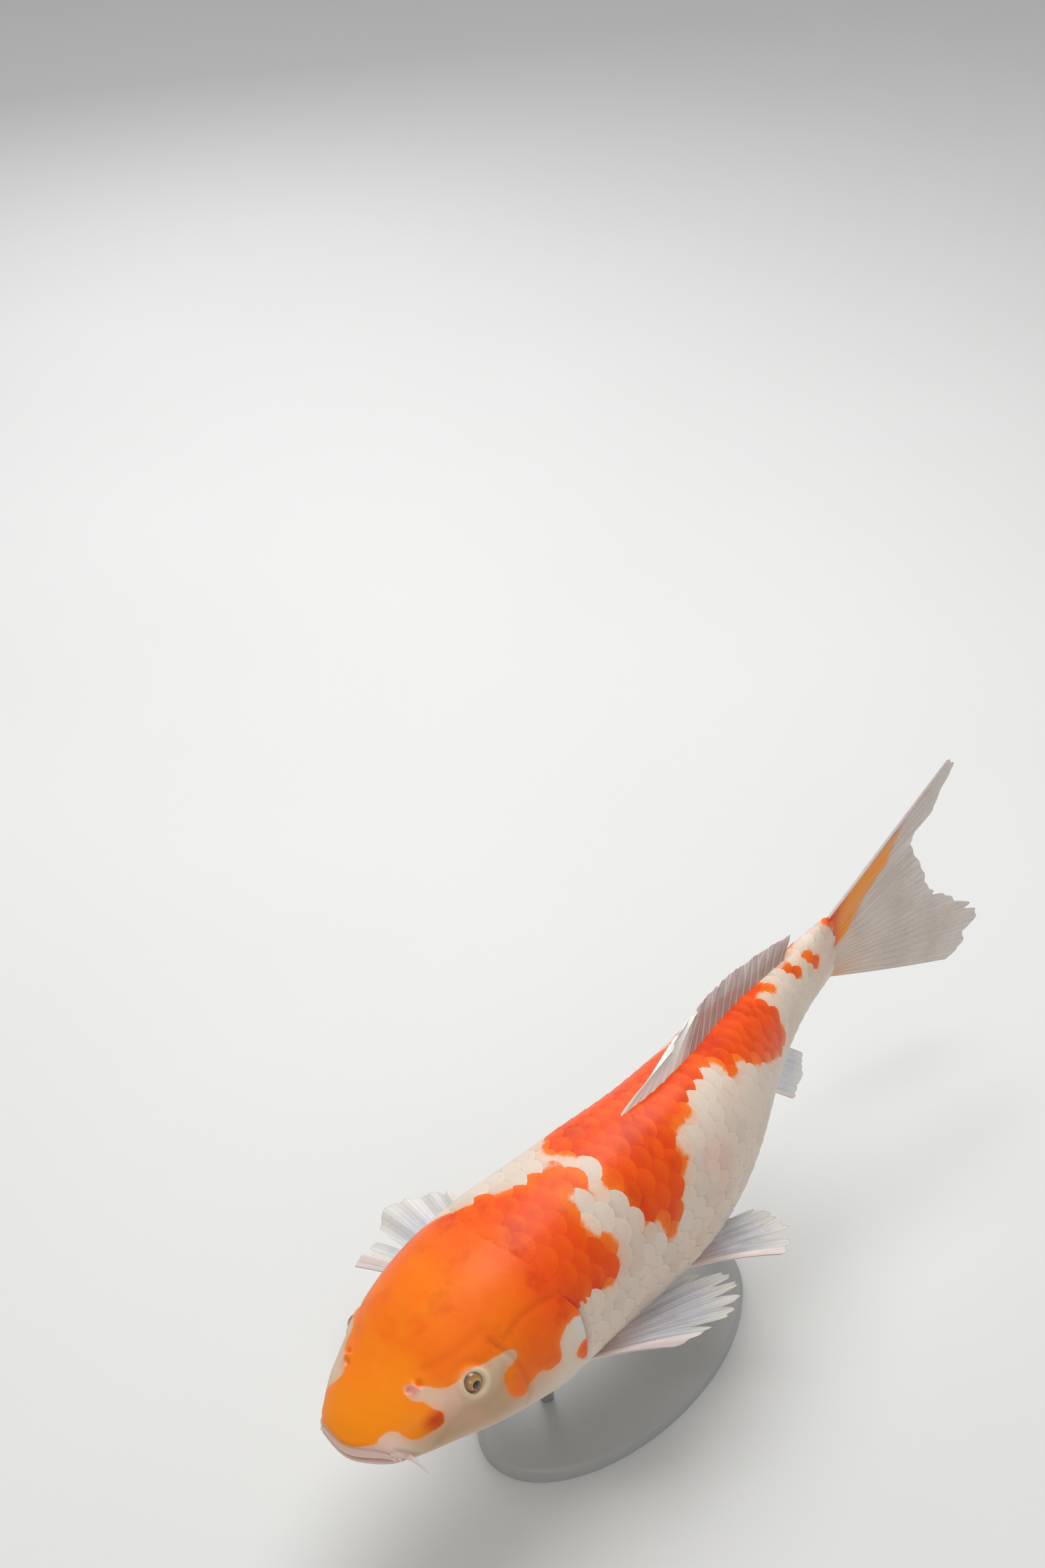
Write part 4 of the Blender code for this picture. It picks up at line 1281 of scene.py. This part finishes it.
def make_eye(word, side):
    centre, way = gaze(side)
    front = Vector(-axes_at(EYE_STATION)[0])
    across = Vector(way).cross(front).normalized()
    ahead = across.cross(Vector(way)).normalized()
    bm = bmesh.new()
    bmesh.ops.create_uvsphere(bm, u_segments=48, v_segments=32, radius=1.0)
    points, seen = [], []
    for corner in bm.verts:
        x, y, z = corner.co
        polar = np.arccos(np.clip(z, -1, 1))
        spot = Vector(way) * z * (WINDOW_FLATNESS if z > 0 else 1) + ahead * x + across * y
        points.append(Vector(centre) + spot * EYE_RADIUS)
        lean = 1 + PUPIL_LEAN * x / max(1e-6, float(np.hypot(x, y)))
        seen.append((polar / lean, float(np.arctan2(y, x)), spot.z))
    put(bm, points, gaze=seen)
    return finish_piece(f"eyeball_{word}", bm, iris_finish, [f"eye_{word}"])


for word, side in SIDES.items():
    make_eye(word, side)

# %% [markdown]
# ## The barbels
#
# Four soft feelers hang beside the mouth. Each is a tube that tapers to a blunt tip and
# widens where it grows from the lip.

# %% Build the barbels
FEELERS = (
    # name, station, angle, reach outwards, down and back, radius at the root
    ("barbel_upper", 0.021, 14, (0.005, 0.006, 0.001), 0.0010),
    ("barbel_corner", 0.032, -4, (0.010, 0.013, 0.002), 0.0016),
)
FEELER_TIP_RADIUS = 0.0006


def barbel_finish():
    f = Finish("barbel_skin", Coat_Roughness=0.08, Coat_Weight=0.5)
    along, _, _ = f.parts(f.own("feel", "Vector"))
    grain = f.noise(500, 3.0)
    colour = f.mix(f.step(along, 0.0, 0.5), LIP_PALE, paint(0.90, 0.87, 0.83))
    colour = f.mix(f.step(grain, 0.5, 0.8) * 0.25, colour, BLUSH)
    return f.show(Base_Color=colour, Roughness=0.38 + (grain - 0.5) * 0.1, Normal=f.bump(grain, 0.0002, 0.4))


feeler_finish = barbel_finish()


def make_barbel(name, side, station, angle, reach, radius):
    back, left, up = axes_at(station)
    root = on_body(station, angle if side > 0 else 180 - angle, -0.003)
    out, down, rear = reach
    middle = root + left * side * out * 0.8 - up * down * 0.2
    tip = root + left * side * out - up * down + back * rear
    bm, around, along = grid(16, 26)
    s = along[:, None]
    centre = root * (1 - s) ** 2 + middle * 2 * s * (1 - s) + tip * s**2
    ahead = (middle - root) * (1 - s) + (tip - middle) * s
    ahead /= np.linalg.norm(ahead, axis=1)[:, None]
    first = np.cross(ahead, back)
    first /= np.linalg.norm(first, axis=1)[:, None]
    second = np.cross(ahead, first)
    thick = radius + (FEELER_TIP_RADIUS - radius) * along + 0.0012 * (1 - ease(along, 0.0, 0.30))
    thick = thick * (1 + 0.04 * np.sin(along * 60)) * np.sqrt(np.clip((1 - along) / 0.06, 0, 1))
    turn = 2 * pi * around
    points = centre + (first * np.cos(turn)[:, None] + second * np.sin(turn)[:, None]) * thick[:, None]
    put(bm, points, feel=np.stack([along, around, along * 0], 1))
    bmesh.ops.remove_doubles(bm, verts=bm.verts, dist=1e-6)
    bmesh.ops.holes_fill(bm, edges=[edge for edge in bm.edges if edge.is_boundary], sides=0)
    word = "left" if side > 0 else "right"
    return finish_piece(f"feeler_{name}_{word}", bm, feeler_finish, [f"{name}_{word}"])


for word, side in SIDES.items():
    for feeler in FEELERS:
        make_barbel(feeler[0], side, *feeler[1:])

# %% [markdown]
# ## The stand
#
# The fish hung in water, so the model needs a support: an oval base with two thin rods.
# The rods' CAD shapes are already right, so they only get a finish, steel brushed along
# their length. The base is turned again as a smooth oval, because facets would show in
# its long edge, and is painted a quiet pale grey with a faint orange peel.


# %% The stand's finishes
def base_finish():
    f = Finish("stand_paint", Coat_Weight=0.15, Coat_Roughness=0.25)
    peel, dust = f.noise(420, 2.0), f.noise(14, 4.0, 0.6)
    colour = f.mix(dust * 0.6, paint(0.66, 0.66, 0.65), paint(0.70, 0.70, 0.69))
    return f.show(Base_Color=colour, Roughness=0.42 + (dust - 0.5) * 0.16, Normal=f.bump(peel, 0.0003, 0.25))


def rod_finish():
    f = Finish("stand_steel", Metallic=1.0)
    stretched = f.node("Mapping", inputs={"Vector": f.where(), "Scale": (1500.0, 1500.0, 30.0)})
    brushed = f.noise(1.0, 4.0, 0.6, stretched)
    colour = f.mix(brushed, paint(0.70, 0.70, 0.71), paint(0.84, 0.84, 0.85))
    return f.show(Base_Color=colour, Roughness=0.22 + brushed * 0.16, Normal=f.bump(brushed, 0.0001, 0.2))


# %% Build the base and finish the rods
BASE_EDGE = 0.003


def make_base():
    low, high = (Vector(corner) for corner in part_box("stand_base"))
    bm = bmesh.new()
    bmesh.ops.create_cone(bm, cap_ends=True, segments=144, radius1=0.5, radius2=0.5, depth=high.z - low.z)
    bmesh.ops.translate(bm, verts=bm.verts, vec=(0, 0, (high.z + low.z) / 2))
    bmesh.ops.scale(bm, vec=(high.x - low.x, high.y - low.y, 1), verts=bm.verts)
    rim = [edge for edge in bm.edges if all(corner.co.z > low.z + 0.001 for corner in edge.verts)]
    bmesh.ops.bevel(bm, geom=rim, offset=BASE_EDGE, segments=5, affect="EDGES", profile=0.5, material=-1)
    return finish_piece("oval_base", bm, base_finish(), ["stand_base"], crisp=30)


make_base()
steel = rod_finish()
for node in ("stand_rod_front", "stand_rod_rear"):
    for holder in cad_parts[node].material_slots:
        holder.material = steel

# %% [markdown]
# ## Floor, light and camera
#
# A pale floor and three large soft lights show the gloss without hard shadows. The camera
# looks down on the fish from its left front.

# %% The floor
FLOOR_REACH = 6.0  # from its middle to each edge


def make_floor():
    bm = bmesh.new()
    bmesh.ops.create_grid(bm, x_segments=1, y_segments=1, size=FLOOR_REACH)
    mesh = mesh_from("floor", bm)
    f = Finish("floor_paper", Roughness=0.85)
    paper = f.mix(f.noise(3, 2.0), paint(0.88, 0.88, 0.87), paint(0.90, 0.90, 0.89))
    mesh.materials.append(f.show(Base_Color=paper))
    floor = add_object("floor", mesh)


make_floor()


# %% The lights
def soft_light(name, position, aim, size, watts, tint=(1.0, 1.0, 1.0)):
    """A round lamp at a place, turned to shine at another."""
    lamp = bpy.data.lights.new(name, "AREA")
    lamp.shape, lamp.size, lamp.energy, lamp.color = "DISK", size, watts, tint
    holder = add_object(name, lamp)
    holder.location = position
    holder.rotation_euler = (Vector(aim) - Vector(position)).to_track_quat("-Z", "Y").to_euler()


soft_light("light_above", (-0.5, 0.5, 1.9), (0, 0, 0.1), 1.5, 26)
soft_light("light_front", (1.3, -1.6, 1.5), (0, 0, 0.15), 1.2, 6, (1.0, 0.98, 0.95))
soft_light("light_behind", (-1.6, 1.0, 1.0), (0, 0, 0.15), 1.0, 5, (0.95, 0.98, 1.0))
world = bpy.data.worlds.new("studio")
world.use_nodes = True
world.node_tree.nodes["Background"].inputs["Color"].default_value = (0.97, 0.98, 1.0, 1.0)
world.node_tree.nodes["Background"].inputs["Strength"].default_value = 0.42
bpy.context.scene.world = world
bpy.context.scene.view_settings.view_transform = "Standard"

# %% The camera
AZIMUTH, ELEVATION = 41.6, 38.7  # degrees round from the fish's front and above the floor
lens = bpy.data.cameras.new("camera")
lens.sensor_width = lens.sensor_height = 36.0
lens.lens = 50.0
lens.clip_start = 0.05
camera = add_object("camera", lens)
camera.location = (0.54485, -0.70411, 1.19761)
turn, rise = radians(AZIMUTH), radians(ELEVATION)
sight = Vector((-sin(turn) * cos(rise), cos(turn) * cos(rise), -sin(rise)))
camera.rotation_euler = sight.to_track_quat("-Z", "Y").to_euler()
bpy.context.scene.camera = camera
